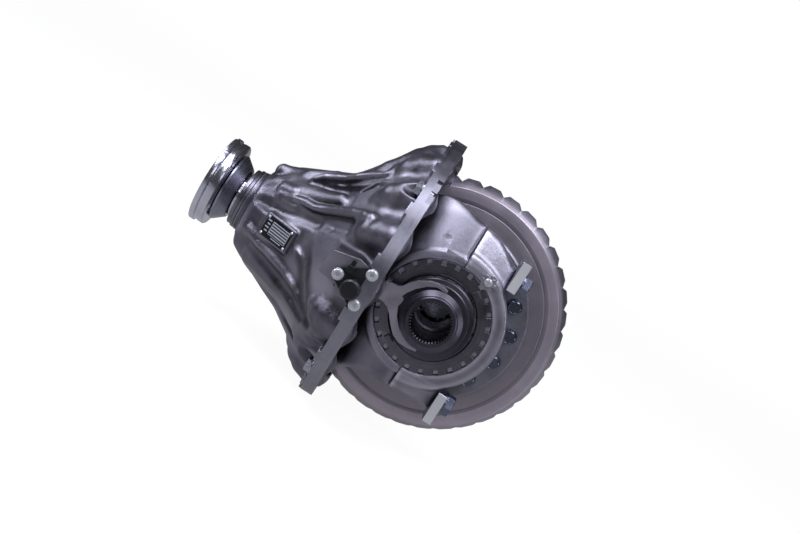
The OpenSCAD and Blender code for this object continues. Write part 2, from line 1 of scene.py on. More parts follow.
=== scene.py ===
import math
import bpy
import bmesh
import numpy as np
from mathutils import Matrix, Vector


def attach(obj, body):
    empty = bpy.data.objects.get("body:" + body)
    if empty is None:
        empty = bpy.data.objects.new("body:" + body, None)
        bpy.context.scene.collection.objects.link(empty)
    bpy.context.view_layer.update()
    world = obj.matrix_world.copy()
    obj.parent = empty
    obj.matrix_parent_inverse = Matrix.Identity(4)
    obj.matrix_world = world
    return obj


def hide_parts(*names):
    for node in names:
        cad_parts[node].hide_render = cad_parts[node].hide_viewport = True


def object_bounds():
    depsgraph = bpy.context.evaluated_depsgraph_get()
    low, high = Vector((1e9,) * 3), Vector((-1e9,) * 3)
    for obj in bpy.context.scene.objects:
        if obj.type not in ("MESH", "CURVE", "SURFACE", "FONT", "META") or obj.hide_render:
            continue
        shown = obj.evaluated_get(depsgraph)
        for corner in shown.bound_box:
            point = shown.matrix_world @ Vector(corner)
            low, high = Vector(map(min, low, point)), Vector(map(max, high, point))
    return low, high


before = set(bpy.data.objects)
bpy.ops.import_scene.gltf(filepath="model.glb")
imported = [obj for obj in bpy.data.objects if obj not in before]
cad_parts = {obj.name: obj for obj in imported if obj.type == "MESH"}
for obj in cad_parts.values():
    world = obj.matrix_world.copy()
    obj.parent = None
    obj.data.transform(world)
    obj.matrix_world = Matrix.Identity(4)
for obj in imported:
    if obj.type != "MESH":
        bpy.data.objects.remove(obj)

import openvdb as vdb
from mathutils import Matrix, Vector

CAD_BOX = [list(map(float, v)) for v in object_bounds()]
S = 0.001
DX, PY, PZ = -98.0, -62.0, -36.0          # differential axis X, pinion axis Y and Z, in mm
TAU = 2 * math.pi


# ------------------------------------------------------------------ materials
class Nodes:
    """A small helper that builds one material's node tree."""

    def __init__(self, name):
        self.m = bpy.data.materials.new(name)
        self.m.use_nodes = True
        self.t = self.m.node_tree
        self.b = self.t.nodes["Principled BSDF"]
        self.co = self.t.nodes.new("ShaderNodeTexCoord").outputs["Object"]

    def new(self, kind, ins=(), **props):
        n = self.t.nodes.new(kind)
        for k, v in props.items():
            setattr(n, k, v)
        for key, v in (ins.items() if isinstance(ins, dict) else ins):
            if hasattr(v, "is_output"):
                self.t.links.new(v, n.inputs[key])
            else:
                n.inputs[key].default_value = v
        return n

    def link(self, a, b):
        self.t.links.new(a, b)

    def math(self, op, a, b=0.0, clamp=False):
        n = self.t.nodes.new("ShaderNodeMath")
        n.operation = op
        n.use_clamp = clamp
        for i, v in enumerate((a, b)):
            if hasattr(v, "is_output"):
                self.t.links.new(v, n.inputs[i])
            else:
                n.inputs[i].default_value = v
        return n.outputs[0]

    def noise(self, scale, detail=4.0, rough=0.55, vec=None, distort=0.0):
        n = self.new("ShaderNodeTexNoise", {"Scale": scale, "Detail": detail, "Roughness": rough, "Distortion": distort})
        self.link(vec or self.co, n.inputs["Vector"])
        return n.outputs[0]

    def ramp(self, fac, stops):
        n = self.t.nodes.new("ShaderNodeValToRGB")
        e = n.color_ramp.elements
        while len(e) < len(stops):
            e.new(0.5)
        for s, (p, c) in zip(e, stops):
            s.position = p
            s.color = (c, c, c, 1) if isinstance(c, (int, float)) else (*c, 1)
        self.link(fac, n.inputs["Fac"])
        return n.outputs["Color"]

    def mix(self, fac, a, b, mode="MIX"):
        n = self.t.nodes.new("ShaderNodeMix")
        n.data_type = "RGBA"
        n.blend_type = mode
        for i, v in ((0, fac), (6, a), (7, b)):
            if hasattr(v, "is_output"):
                self.t.links.new(v, n.inputs[i])
            elif i == 0:
                n.inputs[0].default_value = v
            else:
                n.inputs[i].default_value = (*v, 1)
        return n.outputs[2]

    def maprange(self, v, a, b, c, d):
        n = self.new("ShaderNodeMapRange", {"From Min": a, "From Max": b, "To Min": c, "To Max": d})
        self.link(v, n.inputs["Value"])
        return n.outputs[0]

    def bump(self, height, dist, strength=1.0, under=None):
        n = self.new("ShaderNodeBump", {"Strength": strength, "Distance": dist})
        self.link(height, n.inputs["Height"])
        if under is not None:
            self.link(under, n.inputs["Normal"])
        return n.outputs[0]

    def polar(self, axis, c0, c1, fine, along):
        """Coordinates for turned surfaces: rings about an axis through (c0, c1), in metres."""
        s = self.new("ShaderNodeSeparateXYZ")
        self.link(self.co, s.inputs[0])
        pick = {"Y": (0, 2, 1), "X": (1, 2, 0)}[axis]
        a = self.math("SUBTRACT", s.outputs[pick[0]], c0)
        b = self.math("SUBTRACT", s.outputs[pick[1]], c1)
        r = self.math("SQRT", self.math("ADD", self.math("MULTIPLY", a, a), self.math("MULTIPLY", b, b)))
        ang = self.math("ARCTAN2", a, b)
        c = self.new("ShaderNodeCombineXYZ")
        self.link(self.math("MULTIPLY", r, fine), c.inputs[0])
        self.link(self.math("MULTIPLY", s.outputs[pick[2]], fine), c.inputs[1])
        self.link(self.math("MULTIPLY", ang, along), c.inputs[2])
        return c.outputs[0], r


def cast(name, base, dark, rough=0.40, grain=0.00022, metallic=0.92, edge=0.4, coat=0.0):
    """Satin cast iron: sand-cast grain, cloudy tone and edges rubbed brighter, with painted highlights on proud ridges
    and painted shade in creases and sunk hollows.
    """
    k = Nodes(name)
    cloud = k.noise(9, 5, 0.6)
    patch = k.noise(34, 4, 0.55, distort=0.4)
    grit = k.noise(620, 3, 0.6)
    peel = k.noise(190, 2, 0.5)
    tone = k.math("ADD", k.math("MULTIPLY", cloud, 0.62), k.math("MULTIPLY", patch, 0.38))
    col = k.mix(k.maprange(tone, 0.36, 0.66, 0, 1), dark, base)
    geo = k.t.nodes.new("ShaderNodeNewGeometry")
    worn = k.maprange(geo.outputs["Pointiness"], 0.515, 0.60, 0, edge)
    worn = k.math("MULTIPLY", worn, k.maprange(grit, 0.35, 0.62, 0.5, 1.0), clamp=True)
    col = k.mix(worn, col, tuple(min(1, c * 1.9) for c in base))
    # painted highlight: proud ridges (by the mesh's proud value) are lightened towards a bright copy of the base colour
    proud = k.new("ShaderNodeAttribute")
    proud.attribute_name = "proud"
    col = k.mix(k.maprange(proud.outputs["Fac"], 0.12, 0.55, 0, 0.65), col, tuple(min(1, c * 1.95) for c in base))
    # painted shade: creases (by pointiness) and sunk hollows (by the mesh's sunk value) are darkened towards a deep
    # copy of the dark tone
    sunk = k.new("ShaderNodeAttribute")
    sunk.attribute_name = "sunk"
    crease_shade = k.maprange(geo.outputs["Pointiness"], 0.42, 0.495, 0.55, 0.0)
    col = k.mix(crease_shade, col, tuple(c * 0.35 for c in dark))
    col = k.mix(k.maprange(sunk.outputs["Fac"], 0.03, 0.42, 0, 0.88), col, tuple(c * 0.22 for c in dark))
    k.link(col, k.b.inputs["Base Color"])
    k.b.inputs["Metallic"].default_value = metallic
    r = k.math("ADD", k.maprange(patch, 0.3, 0.7, rough - 0.07, rough + 0.07), k.maprange(grit, 0.3, 0.7, -0.04, 0.05))
    k.link(r, k.b.inputs["Roughness"])
    k.b.inputs["Coat Weight"].default_value = coat
    k.b.inputs["Coat Roughness"].default_value = 0.22
    n1 = k.bump(peel, 0.0011, 0.30)
    n2 = k.bump(grit, grain * 2.2, 0.55, n1)
    k.link(n2, k.b.inputs["Normal"])
    return k.m


def steel(name, base, dark, rough=0.26, axis=None, centre=(0, 0), metallic=1.0, lines=2600, line_bump=0.00005, coat=0.0, spots=0.25, heat=None, bands=()):
    """Machined or ground steel; with an axis it shows fine turning lines round it."""
    k = Nodes(name)
    cloud = k.noise(24, 4, 0.6)
    fine = k.noise(900, 2, 0.5)
    if axis:
        v, r = k.polar(axis, centre[0], centre[1], lines, 1.2)
        turn = k.noise(1.0, 3, 0.65, v)
        coarse = k.noise(0.16, 2, 0.5, v)
    else:
        mp = k.new("ShaderNodeMapping", {"Scale": (1.0, 0.06, 1.0)})
        k.link(k.co, mp.inputs["Vector"])
        turn = k.noise(lines, 2, 0.6, mp.outputs[0])
        coarse = k.noise(130, 2, 0.5, mp.outputs[0])
    tone = k.math("ADD", k.math("MULTIPLY", cloud, 0.45), k.math("ADD", k.math("MULTIPLY", turn, 0.33), k.math("MULTIPLY", coarse, 0.22)))
    col = k.mix(k.maprange(tone, 0.34, 0.66, 0, 1), dark, base)
    stain = k.ramp(k.noise(60, 5, 0.65, distort=0.8), [(0.52, 0.0), (0.68, spots)])
    col = k.mix(stain, col, tuple(c * 0.55 for c in dark) if heat is None else heat)
    for r0, f in bands:                          # inside this radius (outside it, for a negative radius) the face takes the base colour times the factor
        inside = k.maprange(r, abs(r0) - 0.0006, abs(r0), 1 if r0 > 0 else 0, 0 if r0 > 0 else 1)
        col = k.mix(k.math("MULTIPLY", inside, k.maprange(tone, 0.34, 0.66, 1.0, 0.75)), col, tuple(c * f for c in base))
    k.link(col, k.b.inputs["Base Color"])
    k.b.inputs["Metallic"].default_value = metallic
    rr = k.math("ADD", k.maprange(turn, 0.3, 0.7, rough - 0.05, rough + 0.07), k.maprange(cloud, 0.3, 0.7, -0.04, 0.05))
    k.link(rr, k.b.inputs["Roughness"])
    k.b.inputs["Coat Weight"].default_value = coat
    n1 = k.bump(turn, line_bump, 0.7)
    n2 = k.bump(fine, 0.00003, 0.5, n1)
    k.link(n2, k.b.inputs["Normal"])
    return k.m


def plastic(name, base, rough=0.42, grain=0.00006, spec=0.45, sheen=0.0):
    """Moulded black plastic or rubber with a fine spark-eroded grain and light dust."""
    k = Nodes(name)
    grit = k.noise(1500, 2, 0.6)
    cloud = k.noise(45, 4, 0.6)
    col = k.mix(k.maprange(cloud, 0.35, 0.7, 0, 1), base, tuple(c * 1.7 + 0.006 for c in base))
    k.link(col, k.b.inputs["Base Color"])
    k.link(k.maprange(cloud, 0.3, 0.7, rough - 0.06, rough + 0.09), k.b.inputs["Roughness"])
    k.b.inputs["Specular IOR Level"].default_value = spec
    k.b.inputs["Sheen Weight"].default_value = sheen
    k.link(k.bump(grit, grain, 0.7), k.b.inputs["Normal"])
    return k.m


M = {
    "housing": cast("housing_cast", (0.29, 0.276, 0.334), (0.145, 0.137, 0.17), rough=0.38),
    "cap": cast("cap_cast", (0.47, 0.452, 0.535), (0.31, 0.295, 0.35), rough=0.40),
    "case": cast("case_cast", (0.38, 0.37, 0.44), (0.24, 0.232, 0.276), rough=0.38),
    "fork": cast("fork_cast", (0.62, 0.57, 0.67), (0.46, 0.425, 0.50), rough=0.33, grain=0.00012, edge=0.35),
    "rim": steel("flange_machined", (0.42, 0.412, 0.485), (0.29, 0.282, 0.338), rough=0.34, axis="X", centre=(0, 0), lines=1400),
    "faced": steel("end_faced", (0.97, 0.97, 0.99), (0.86, 0.86, 0.90), rough=0.42, spots=0.04, metallic=0.45),
    "ring": steel("ring_back", (0.64, 0.578, 0.668), (0.49, 0.434, 0.508), rough=0.36, metallic=0.72, axis="Y", centre=(DX * S, 0), lines=1900, spots=0.30, heat=(0.56, 0.41, 0.45), bands=((0.1865, 0.50), (0.152, 0.80), (-0.2092, 0.62))),
    "teeth": steel("tooth_flank", (0.56, 0.545, 0.64), (0.37, 0.36, 0.43), rough=0.40, lines=1600, spots=0.35),
    "adjuster": steel("adjuster_black", (0.27, 0.257, 0.305), (0.155, 0.147, 0.175), rough=0.29, axis="Y", centre=(DX * S, 0), lines=1500, spots=0.4, heat=(0.16, 0.13, 0.13)),
    "slot": steel("slot_bright", (0.80, 0.79, 0.88), (0.52, 0.51, 0.60), rough=0.30, lines=900, spots=0.5, metallic=0.6),
    "blued": steel("bolt_blued", (0.23, 0.25, 0.34), (0.13, 0.145, 0.20), rough=0.26, lines=900, spots=0.3, coat=0.3),
    "dark": steel("dark_steel", (0.30, 0.295, 0.35), (0.18, 0.175, 0.21), rough=0.32, lines=900, spots=0.3),
    "zinc": steel("zinc_bright", (0.95, 0.96, 0.99), (0.74, 0.75, 0.82), rough=0.30, lines=700, spots=0.12, coat=0.2, metallic=0.55),
    "plates": steel("lock_plate", (0.88, 0.87, 0.95), (0.66, 0.65, 0.74), rough=0.30, lines=1000),
    "bearing": steel("bearing_ground", (0.68, 0.68, 0.75), (0.50, 0.50, 0.57), rough=0.14, axis="Y", centre=(DX * S, 0), lines=3200, spots=0.08),
    "pbearing": steel("pinion_bearing_ground", (0.68, 0.68, 0.75), (0.50, 0.50, 0.57), rough=0.14, axis="X", centre=(PY * S, PZ * S), lines=3200, spots=0.08),
    "gear": steel("gear_ground", (0.60, 0.595, 0.68), (0.42, 0.415, 0.48), rough=0.24, lines=1500),
    "bronze": steel("bronze_washer", (0.68, 0.47, 0.22), (0.46, 0.30, 0.14), rough=0.28, axis="Y", centre=(DX * S, 0), lines=1500),
    "machined": steel("machined_steel", (0.64, 0.635, 0.72), (0.46, 0.455, 0.53), rough=0.24, lines=1800),
    "input": steel("input_turned", (0.82, 0.82, 0.92), (0.58, 0.58, 0.67), rough=0.19, axis="X", centre=(PY * S, PZ * S), lines=1500, spots=0.10),
    "deflector": steel("deflector_pressed", (0.46, 0.47, 0.57), (0.30, 0.31, 0.385), rough=0.28, axis="X", centre=(PY * S, PZ * S), lines=700),
    "sleeve": steel("sleeve_turned", (0.135, 0.125, 0.155), (0.075, 0.07, 0.087), rough=0.34, axis="Y", centre=(DX * S, 0), lines=1700, spots=0.25),
    "spring": steel("spring_wire", (0.30, 0.30, 0.32), (0.20, 0.20, 0.21), rough=0.3, lines=1200),
    "seal": plastic("seal_rubber", (0.012, 0.012, 0.013), rough=0.55, spec=0.3, sheen=0.1),
    "black": plastic("cover_moulded", (0.012, 0.012, 0.015), rough=0.34),
    "plate_black": plastic("plate_enamel", (0.006, 0.006, 0.008), rough=0.30, grain=0.00002, spec=0.3),
    "plate_field": steel("plate_field", (0.74, 0.76, 0.86), (0.60, 0.62, 0.72), rough=0.36, lines=600, spots=0.06, metallic=0.45),
}


# ------------------------------------------------------------------ mesh helpers
def finish_mesh(name, me, mat, body, nodes=(), angle=32, bevel=0.0, seg=2, limit=38):
    """Makes a piece from a mesh in millimetres: scaled to metres, shaded and placed on its body."""
    me.transform(Matrix.Scale(S, 4))
    o = bpy.data.objects.new(name, me)
    bpy.context.scene.collection.objects.link(o)
    for m in (mat if isinstance(mat, (list, tuple)) else [mat]):
        me.materials.append(M[m])
    me.shade_smooth()
    me.set_sharp_from_angle(angle=math.radians(angle))
    if bevel:
        b = o.modifiers.new("edges", "BEVEL")
        b.width = bevel * S
        b.segments = seg
        b.limit_method = "ANGLE"
        b.angle_limit = math.radians(limit)
        b.harden_normals = True
        b.use_clamp_overlap = True
        b.miter_outer = "MITER_ARC"
    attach(o, body)
    if nodes:
        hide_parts(*nodes)
    return o


def mesh_of(name, verts, faces):
    me = bpy.data.meshes.new(name)
    me.from_pydata([tuple(map(float, v)) for v in verts], [], [list(map(int, f)) for f in faces])
    bm = bmesh.new()
    bm.from_mesh(me)
    bmesh.ops.remove_doubles(bm, verts=bm.verts, dist=1e-4)
    bmesh.ops.recalc_face_normals(bm, faces=bm.faces)
    bm.to_mesh(me)
    bm.free()
    return me


def join(parts):
    """Joins (verts, faces) pairs."""
    V, F, o = [], [], 0
    for v, f in parts:
        V.extend(v)
        F.extend([[i + o for i in q] for q in f])
        o += len(v)
    return V, F


def rounded(p, r=0.8, seg=3, closed=True):
    """A polygon with every corner rounded to radius r or what its edges allow."""
    n = len(p)
    out = []
    for i in range(n):
        a, b, c = np.array(p[i - 1], float), np.array(p[i], float), np.array(p[(i + 1) % n], float)
        if not closed and i in (0, n - 1):
            out.append(tuple(b))
            continue
        u, v = a - b, c - b
        lu, lv = np.linalg.norm(u), np.linalg.norm(v)
        if lu < 1e-6 or lv < 1e-6:
            continue
        u, v = u / lu, v / lv
        cs = float(np.clip(u @ v, -1, 1))
        half = math.acos(cs) / 2
        if half > math.radians(86):
            out.append(tuple(b))
            continue
        t = min(r / max(math.tan(half), 1e-3), 0.42 * lu, 0.42 * lv)
        p0, p1 = b + u * t, b + v * t
        for j in range(seg + 1):
            w = j / seg
            q = (1 - w) ** 2 * p0 + 2 * w * (1 - w) * b + w * w * p1
            out.append(tuple(q))
    return out


def about_y(r, y, t, x0=DX, z0=0.0):
    return (x0 + r * math.cos(t), y, z0 - r * math.sin(t))


def about_x(r, x, t):
    return (x, PY + r * math.cos(t), PZ + r * math.sin(t))


def revolve(profile, place, n=160):
    """A closed profile of [radius, station] turned into a ring."""
    m = len(profile)
    V = [place(r, a, TAU * i / n) for i in range(n) for r, a in profile]
    F = [[i * m + j, ((i + 1) % n) * m + j, ((i + 1) % n) * m + (j + 1) % m, i * m + (j + 1) % m] for i in range(n) for j in range(m)]
    return V, F


def frame_at(origin, z, x=None):
    z = Vector(z).normalized()
    x = Vector(x) if x is not None else (Vector((0, 0, 1)) if abs(z.z) < 0.9 else Vector((1, 0, 0)))
    y = z.cross(x).normalized()
    x = y.cross(z).normalized()
    m = Matrix.Identity(4)
    m.col[0][:3], m.col[1][:3], m.col[2][:3], m.col[3][:3] = x, y, z, Vector(origin)
    return m


def placed(part, m):
    V, F = part
    return [tuple(m @ Vector(v)) for v in V], F


def hexhead(af, h, z0=0.0, n=72, chamfer=0.96, dish=0.0):
    """A forged hex head with its chamfered crown, along +Z from z0."""
    rows = []
    rc = af / 2 * chamfer
    hexr = [af / 2 / math.cos(((TAU * i / n + math.pi / 6) % (math.pi / 3)) - math.pi / 6) for i in range(n)]
    top = [h - max(0.0, r - rc) * math.tan(math.radians(27)) for r in hexr]
    e = 0.35
    rows.append([(r - e, 0.0) for r in hexr])
    rows.append([(r, e) for r in hexr])
    rows.append([(r, t - e) for r, t in zip(hexr, top)])
    rows.append([(r - e, t) for r, t in zip(hexr, top)])
    rows.append([(rc, h) for r in hexr])
    rows.append([(rc * 0.94, h + 0.02) for r in hexr])
    rows.append([(rc * 0.90, h - dish) for r in hexr])
    rows.append([(rc * 0.4, h - dish) for r in hexr])
    V = [(r * math.cos(TAU * i / n), r * math.sin(TAU * i / n), z + z0) for row in rows for i, (r, z) in enumerate(row)]
    F = [[a * n + i, a * n + (i + 1) % n, (a + 1) * n + (i + 1) % n, (a + 1) * n + i] for a in range(len(rows) - 1) for i in range(n)]
    F.append(list(range(n - 1, -1, -1)))
    F.append([(len(rows) - 1) * n + i for i in range(n)])
    return V, F


def disc(profile, n=64):
    """A solid turned about +Z: an open profile of [radius, z] from axis to axis."""
    m = len(profile)
    V = [(r * math.cos(TAU * i / n), r * math.sin(TAU * i / n), z) for i in range(n) for r, z in profile]
    F = [[i * m + j, ((i + 1) % n) * m + j, ((i + 1) % n) * m + j + 1, i * m + j + 1] for i in range(n) for j in range(m - 1)]
    F.append([i * m for i in range(n)][::-1])
    F.append([i * m + m - 1 for i in range(n)])
    return V, F


def washer(r0, r1, z0, z1, n=64, e=0.35):
    p = rounded([(r0, z0), (r1, z0), (r1, z1), (r0, z1)], e, 2)
    m = len(p)
    V = [(r * math.cos(TAU * i / n), r * math.sin(TAU * i / n), z) for i in range(n) for r, z in p]
    F = [[i * m + j, ((i + 1) % n) * m + j, ((i + 1) % n) * m + (j + 1) % m, i * m + (j + 1) % m] for i in range(n) for j in range(m)]
    return V, F


def prism(outline, z0, z1, e=0.0):
    """A polygon in x and y raised along z."""
    n = len(outline)
    V = [(x, y, z0) for x, y in outline] + [(x, y, z1) for x, y in outline]
    F = [[i, (i + 1) % n, n + (i + 1) % n, n + i] for i in range(n)]
    F += [list(range(n - 1, -1, -1)), list(range(n, 2 * n))]
    return V, F


def cut(me_a, tools):
    """me_a minus the joined tool solids, all in millimetres."""
    a = bpy.data.objects.new("cut_a", me_a)
    bpy.context.scene.collection.objects.link(a)
    bs = []
    for i, part in enumerate(tools):
        b = bpy.data.objects.new("cut_b%d" % i, mesh_of("cut_b%d" % i, *part))
        bpy.context.scene.collection.objects.link(b)
        mod = a.modifiers.new("cut%d" % i, "BOOLEAN")
        mod.operation = "DIFFERENCE"
        mod.solver = "EXACT"
        mod.object = b
        bs.append(b)
    bpy.context.view_layer.update()
    me = bpy.data.meshes.new_from_object(a.evaluated_get(bpy.context.evaluated_depsgraph_get()))
    for o in [a] + bs:
        bpy.data.objects.remove(o)
    return me


def refined(node, mat, body, bevel=0.6, seg=2, limit=38, name=None, angle=32):
    """The CAD node's shape with its machined or moulded edges broken, as a piece of its own."""
    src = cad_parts[node]
    me = src.data.copy()
    me.transform(src.matrix_world)
    me.materials.clear()
    bm = bmesh.new()
    bm.from_mesh(me)
    bmesh.ops.remove_doubles(bm, verts=bm.verts, dist=2e-6)
    bmesh.ops.dissolve_degenerate(bm, dist=2e-6, edges=bm.edges)
    bmesh.ops.dissolve_limit(bm, angle_limit=math.radians(0.6), verts=bm.verts, edges=bm.edges)
    bmesh.ops.recalc_face_normals(bm, faces=bm.faces)
    bm.to_mesh(me)
    bm.free()
    me.transform(Matrix.Scale(1 / S, 4))
    return finish_mesh(name or node + "_skin", me, mat, body, (node,), angle=angle, bevel=bevel, seg=seg, limit=limit)


# ------------------------------------------------------------------ castings as blended volumes
def smin(a, b, k):
    if k <= 0:
        return np.minimum(a, b)
    h = np.clip(0.5 + 0.5 * (b - a) / k, 0, 1)
    return b + (a - b) * h - k * h * (1 - h)


class Field:
    """A signed distance field in millimetres that is turned into a skin at the end."""

    def __init__(self, lo, hi, h):
        self.lo, self.h = np.array(lo, float), h
        self.n = (np.ceil((np.array(hi, float) - self.lo) / h) + 1).astype(int)
        ax = [(self.lo[i] + h * np.arange(self.n[i])).astype(np.float32) for i in range(3)]
        self.X, self.Y, self.Z = ax[0][:, None, None], ax[1][None, :, None], ax[2][None, None, :]
        self.d = np.full(tuple(self.n), 30, np.float32)

    def apply(self, fn, mode="add", k=3.0, box=None):
        s = [slice(None)] * 3
        if box is not None:
            for i in range(3):
                a = int(np.clip(math.floor((box[0][i] - self.lo[i]) / self.h), 0, self.n[i] - 1))
                b = int(np.clip(math.ceil((box[1][i] - self.lo[i]) / self.h) + 1, a + 1, self.n[i]))
                s[i] = slice(a, b)
        s = tuple(s)
        b = fn(self.X[s[0]], self.Y[:, s[1]], self.Z[:, :, s[2]]).astype(np.float32)
        a = self.d[s]
        if mode == "add":
            self.d[s] = smin(a, b, k)
        elif mode == "cut":
            self.d[s] = -smin(-a, b, k)
        else:
            self.d[s] = -smin(-a, -b, k)

    def at(self, q):
        """The field's value at points, read between the grid's samples."""
        q = (q - self.lo) / self.h
        u = np.clip(q, 0, self.n - 1.001)
        out = np.linalg.norm(q - u, axis=1) * self.h
        i = u.astype(int)
        w = u - i
        v = 0.0
        for a in (0, 1):
            for b in (0, 1):
                for c in (0, 1):
                    k = (w[:, 0] if a else 1 - w[:, 0]) * (w[:, 1] if b else 1 - w[:, 1]) * (w[:, 2] if c else 1 - w[:, 2])
                    v = v + k * self.d[i[:, 0] + a, i[:, 1] + b, i[:, 2] + c]
        return v + out

    def relief(self, p):
        """How sunk and how proud each point lies among its surroundings, each 0 to 1; the cast materials paint shade
        into sunk points and highlights onto proud ones.
        """
        e = self.h * 1.5
        n = np.stack([self.at(p + np.eye(3)[i] * e) - self.at(p - np.eye(3)[i] * e) for i in range(3)], 1)
        n /= np.maximum(np.linalg.norm(n, axis=1), 1e-6)[:, None]
        sunk = sum(w * np.clip((d - self.at(p + n * d)) / d, 0, 1) for d, w in ((9, 0.35), (20, 0.35), (38, 0.30)))
        proud = sum(w * np.clip((d + self.at(p - n * d)) / d, 0, 1) for d, w in ((6, 0.5), (13, 0.5)))
        return sunk, proud

    def skin(self):
        g = vdb.FloatGrid(30.0)
        g.copyFromArray(np.ascontiguousarray(np.clip(self.d, -30, 30)))
        p, t, q = g.convertToPolygons(0.0, 0.0)
        p = np.asarray(p, float) * self.h + self.lo
        self.sunk, self.proud = self.relief(p)
        return p, [list(f) for f in np.asarray(t)] + [list(f) for f in np.asarray(q)]

    def write(self, me):
        if len(me.vertices) == len(self.sunk):
            # the sunk and proud values go on the mesh as attributes that drive painted shade and painted highlights
            for name, v in (("sunk", self.sunk), ("proud", self.proud)):
                me.attributes.new(name, "FLOAT", "POINT").data.foreach_set("value", v.astype(np.float32))


def loft(rows, slack=0.0):
    """Discs in planes of X, [x, y, z, radius], joined smoothly."""
    r = np.array(rows, float)

    def fn(X, Y, Z):
        x = X[:, 0, 0].astype(float)
        fine = np.linspace(r[0, 0], r[-1, 0], 400)
        vals = []
        for c in (1, 2, 3):
            v = np.interp(fine, r[:, 0], r[:, c])
            w = np.hanning(41)
            v = np.convolve(np.pad(v, 20, mode="reflect", reflect_type="odd"), w / w.sum(), "valid")
            vals.append(np.interp(x, fine, v))
        slope = np.gradient(vals[2], x)
        cs = 1 / np.sqrt(1 + slope ** 2)
        cy, cz, rr, cs = [v.astype(np.float32)[:, None, None] for v in (vals[0], vals[1], vals[2], cs)]
        d = (np.sqrt((Y - cy) ** 2 + (Z - cz) ** 2) - rr) * cs
        return np.maximum(d, np.maximum(r[0, 0] - X, X - r[-1, 0]).astype(np.float32))
    return fn


def cyl(axis, r, a0, a1, c0, c1, k=0.0):
    def fn(X, Y, Z):
        if axis == "X":
            rad, s = np.sqrt((Y - c0) ** 2 + (Z - c1) ** 2) - r, X
        else:
            rad, s = np.sqrt((X - c0) ** 2 + (Z - c1) ** 2) - r, Y
        return -smin(-rad, -np.maximum(a0 - s, s - a1), k) if k else np.maximum(rad, np.maximum(a0 - s, s - a1))
    return fn


def block(lo, hi, r=0.0):
    lo, hi = np.array(lo, float), np.array(hi, float)
    c, e = (lo + hi) / 2, (hi - lo) / 2 - r

    def fn(X, Y, Z):
        q = [np.abs(v - c[i]) - e[i] for i, v in enumerate((X, Y, Z))]
        out = np.sqrt(sum(np.maximum(v, 0) ** 2 for v in q))
        return out + np.minimum(np.maximum(np.maximum(q[0], q[1]), q[2]), 0) - r
    return fn


def poly2(P, U, V):
    """Signed distance to a polygon over two coordinate arrays."""
    P = np.array(P, float)
    d = np.full(np.broadcast(U, V).shape, 1e9)
    s = np.ones(d.shape)
    for i in range(len(P)):
        a, b = P[i - 1], P[i]
        e = b - a
        wu, wv = U - a[0], V - a[1]
        t = np.clip((wu * e[0] + wv * e[1]) / (e @ e), 0, 1)
        d = np.minimum(d, (wu - e[0] * t) ** 2 + (wv - e[1] * t) ** 2)
        c1, c2, c3 = V >= a[1], V < b[1], e[0] * wv > e[1] * wu
        s = np.where((c1 & c2 & c3) | (~c1 & ~c2 & ~c3), -s, s)
    return s * np.sqrt(d)


def slab(P, y0, y1, k=3.0):
    """An outline in X and Z raised along Y."""
    def fn(X, Y, Z):
        p = poly2(P, X, Z)
        return -smin(-p, -np.maximum(y0 - Y, Y - y1), k)
    return fn


def rib(points, cap_k=0.0):
    """A chain of tapering round segments, each point [x, y, z, radius]."""
    P = np.array(points, float)

    def fn(X, Y, Z):
        d = None
        for a, b in zip(P[:-1], P[1:]):
            e = b[:3] - a[:3]
            t = np.clip(((X - a[0]) * e[0] + (Y - a[1]) * e[1] + (Z - a[2]) * e[2]) / (e @ e), 0, 1)
            q = np.sqrt((X - a[0] - e[0] * t) ** 2 + (Y - a[1] - e[1] * t) ** 2 + (Z - a[2] - e[2] * t) ** 2) - (a[3] + (b[3] - a[3]) * t)
            d = q if d is None else smin(d, q, 2.0)
        return d
    return fn


def barrel(P, s, k):
    """A bearing arm: an outline in X and Z whose outer side follows the carrier's turning diameter."""
    def fn(X, Y, Z):
        p = poly2(P, X, Z)
        y = np.abs(Y)
        r = np.sqrt(Y ** 2 + Z ** 2) - 218
        z = np.clip((np.sqrt((X - DX) ** 2 + Z ** 2) - 100) / 80, 0, 1.4)
        face = (y - (161 - 46 * z ** 1.2)) * 0.82
        d = -smin(-p, -r, 6)
        d = -smin(-d, -face, 10)
        return -smin(-d, -(104 - y), k) + np.where(Y * s < 0, 500, 0)
    return fn


def around(points, pad):
    P = np.array(points, float)
    m = P[:, 3].max() + pad
    return (P[:, :3].min(0) - m, P[:, :3].max(0) + m)


def cavity(X, Y, Z):
    c = loft([(-8, 0, 0, 211), (0, 0, 0, 209.5), (56, -10, -8, 190), (134, -50, -32, 126), (216, -61, -36, 88)])(X, Y, Z)
    far = np.minimum(cyl("X", 92, 128, 186, PY, PZ)(X, Y, Z), cyl("X", 66, 180, 224, PY, PZ)(X, Y, Z))
    for a in (20, 110, 200, 290):
        u, v = math.cos(math.radians(a)), math.sin(math.radians(a))
        along = (Y - PY) * u + (Z - PZ) * v
        side = -(Y - PY) * v + (Z - PZ) * u
        far = np.minimum(far, np.maximum(np.maximum(np.abs(side) - 7, -along), 130 - X))
    return -smin(-c, far, 5.0)


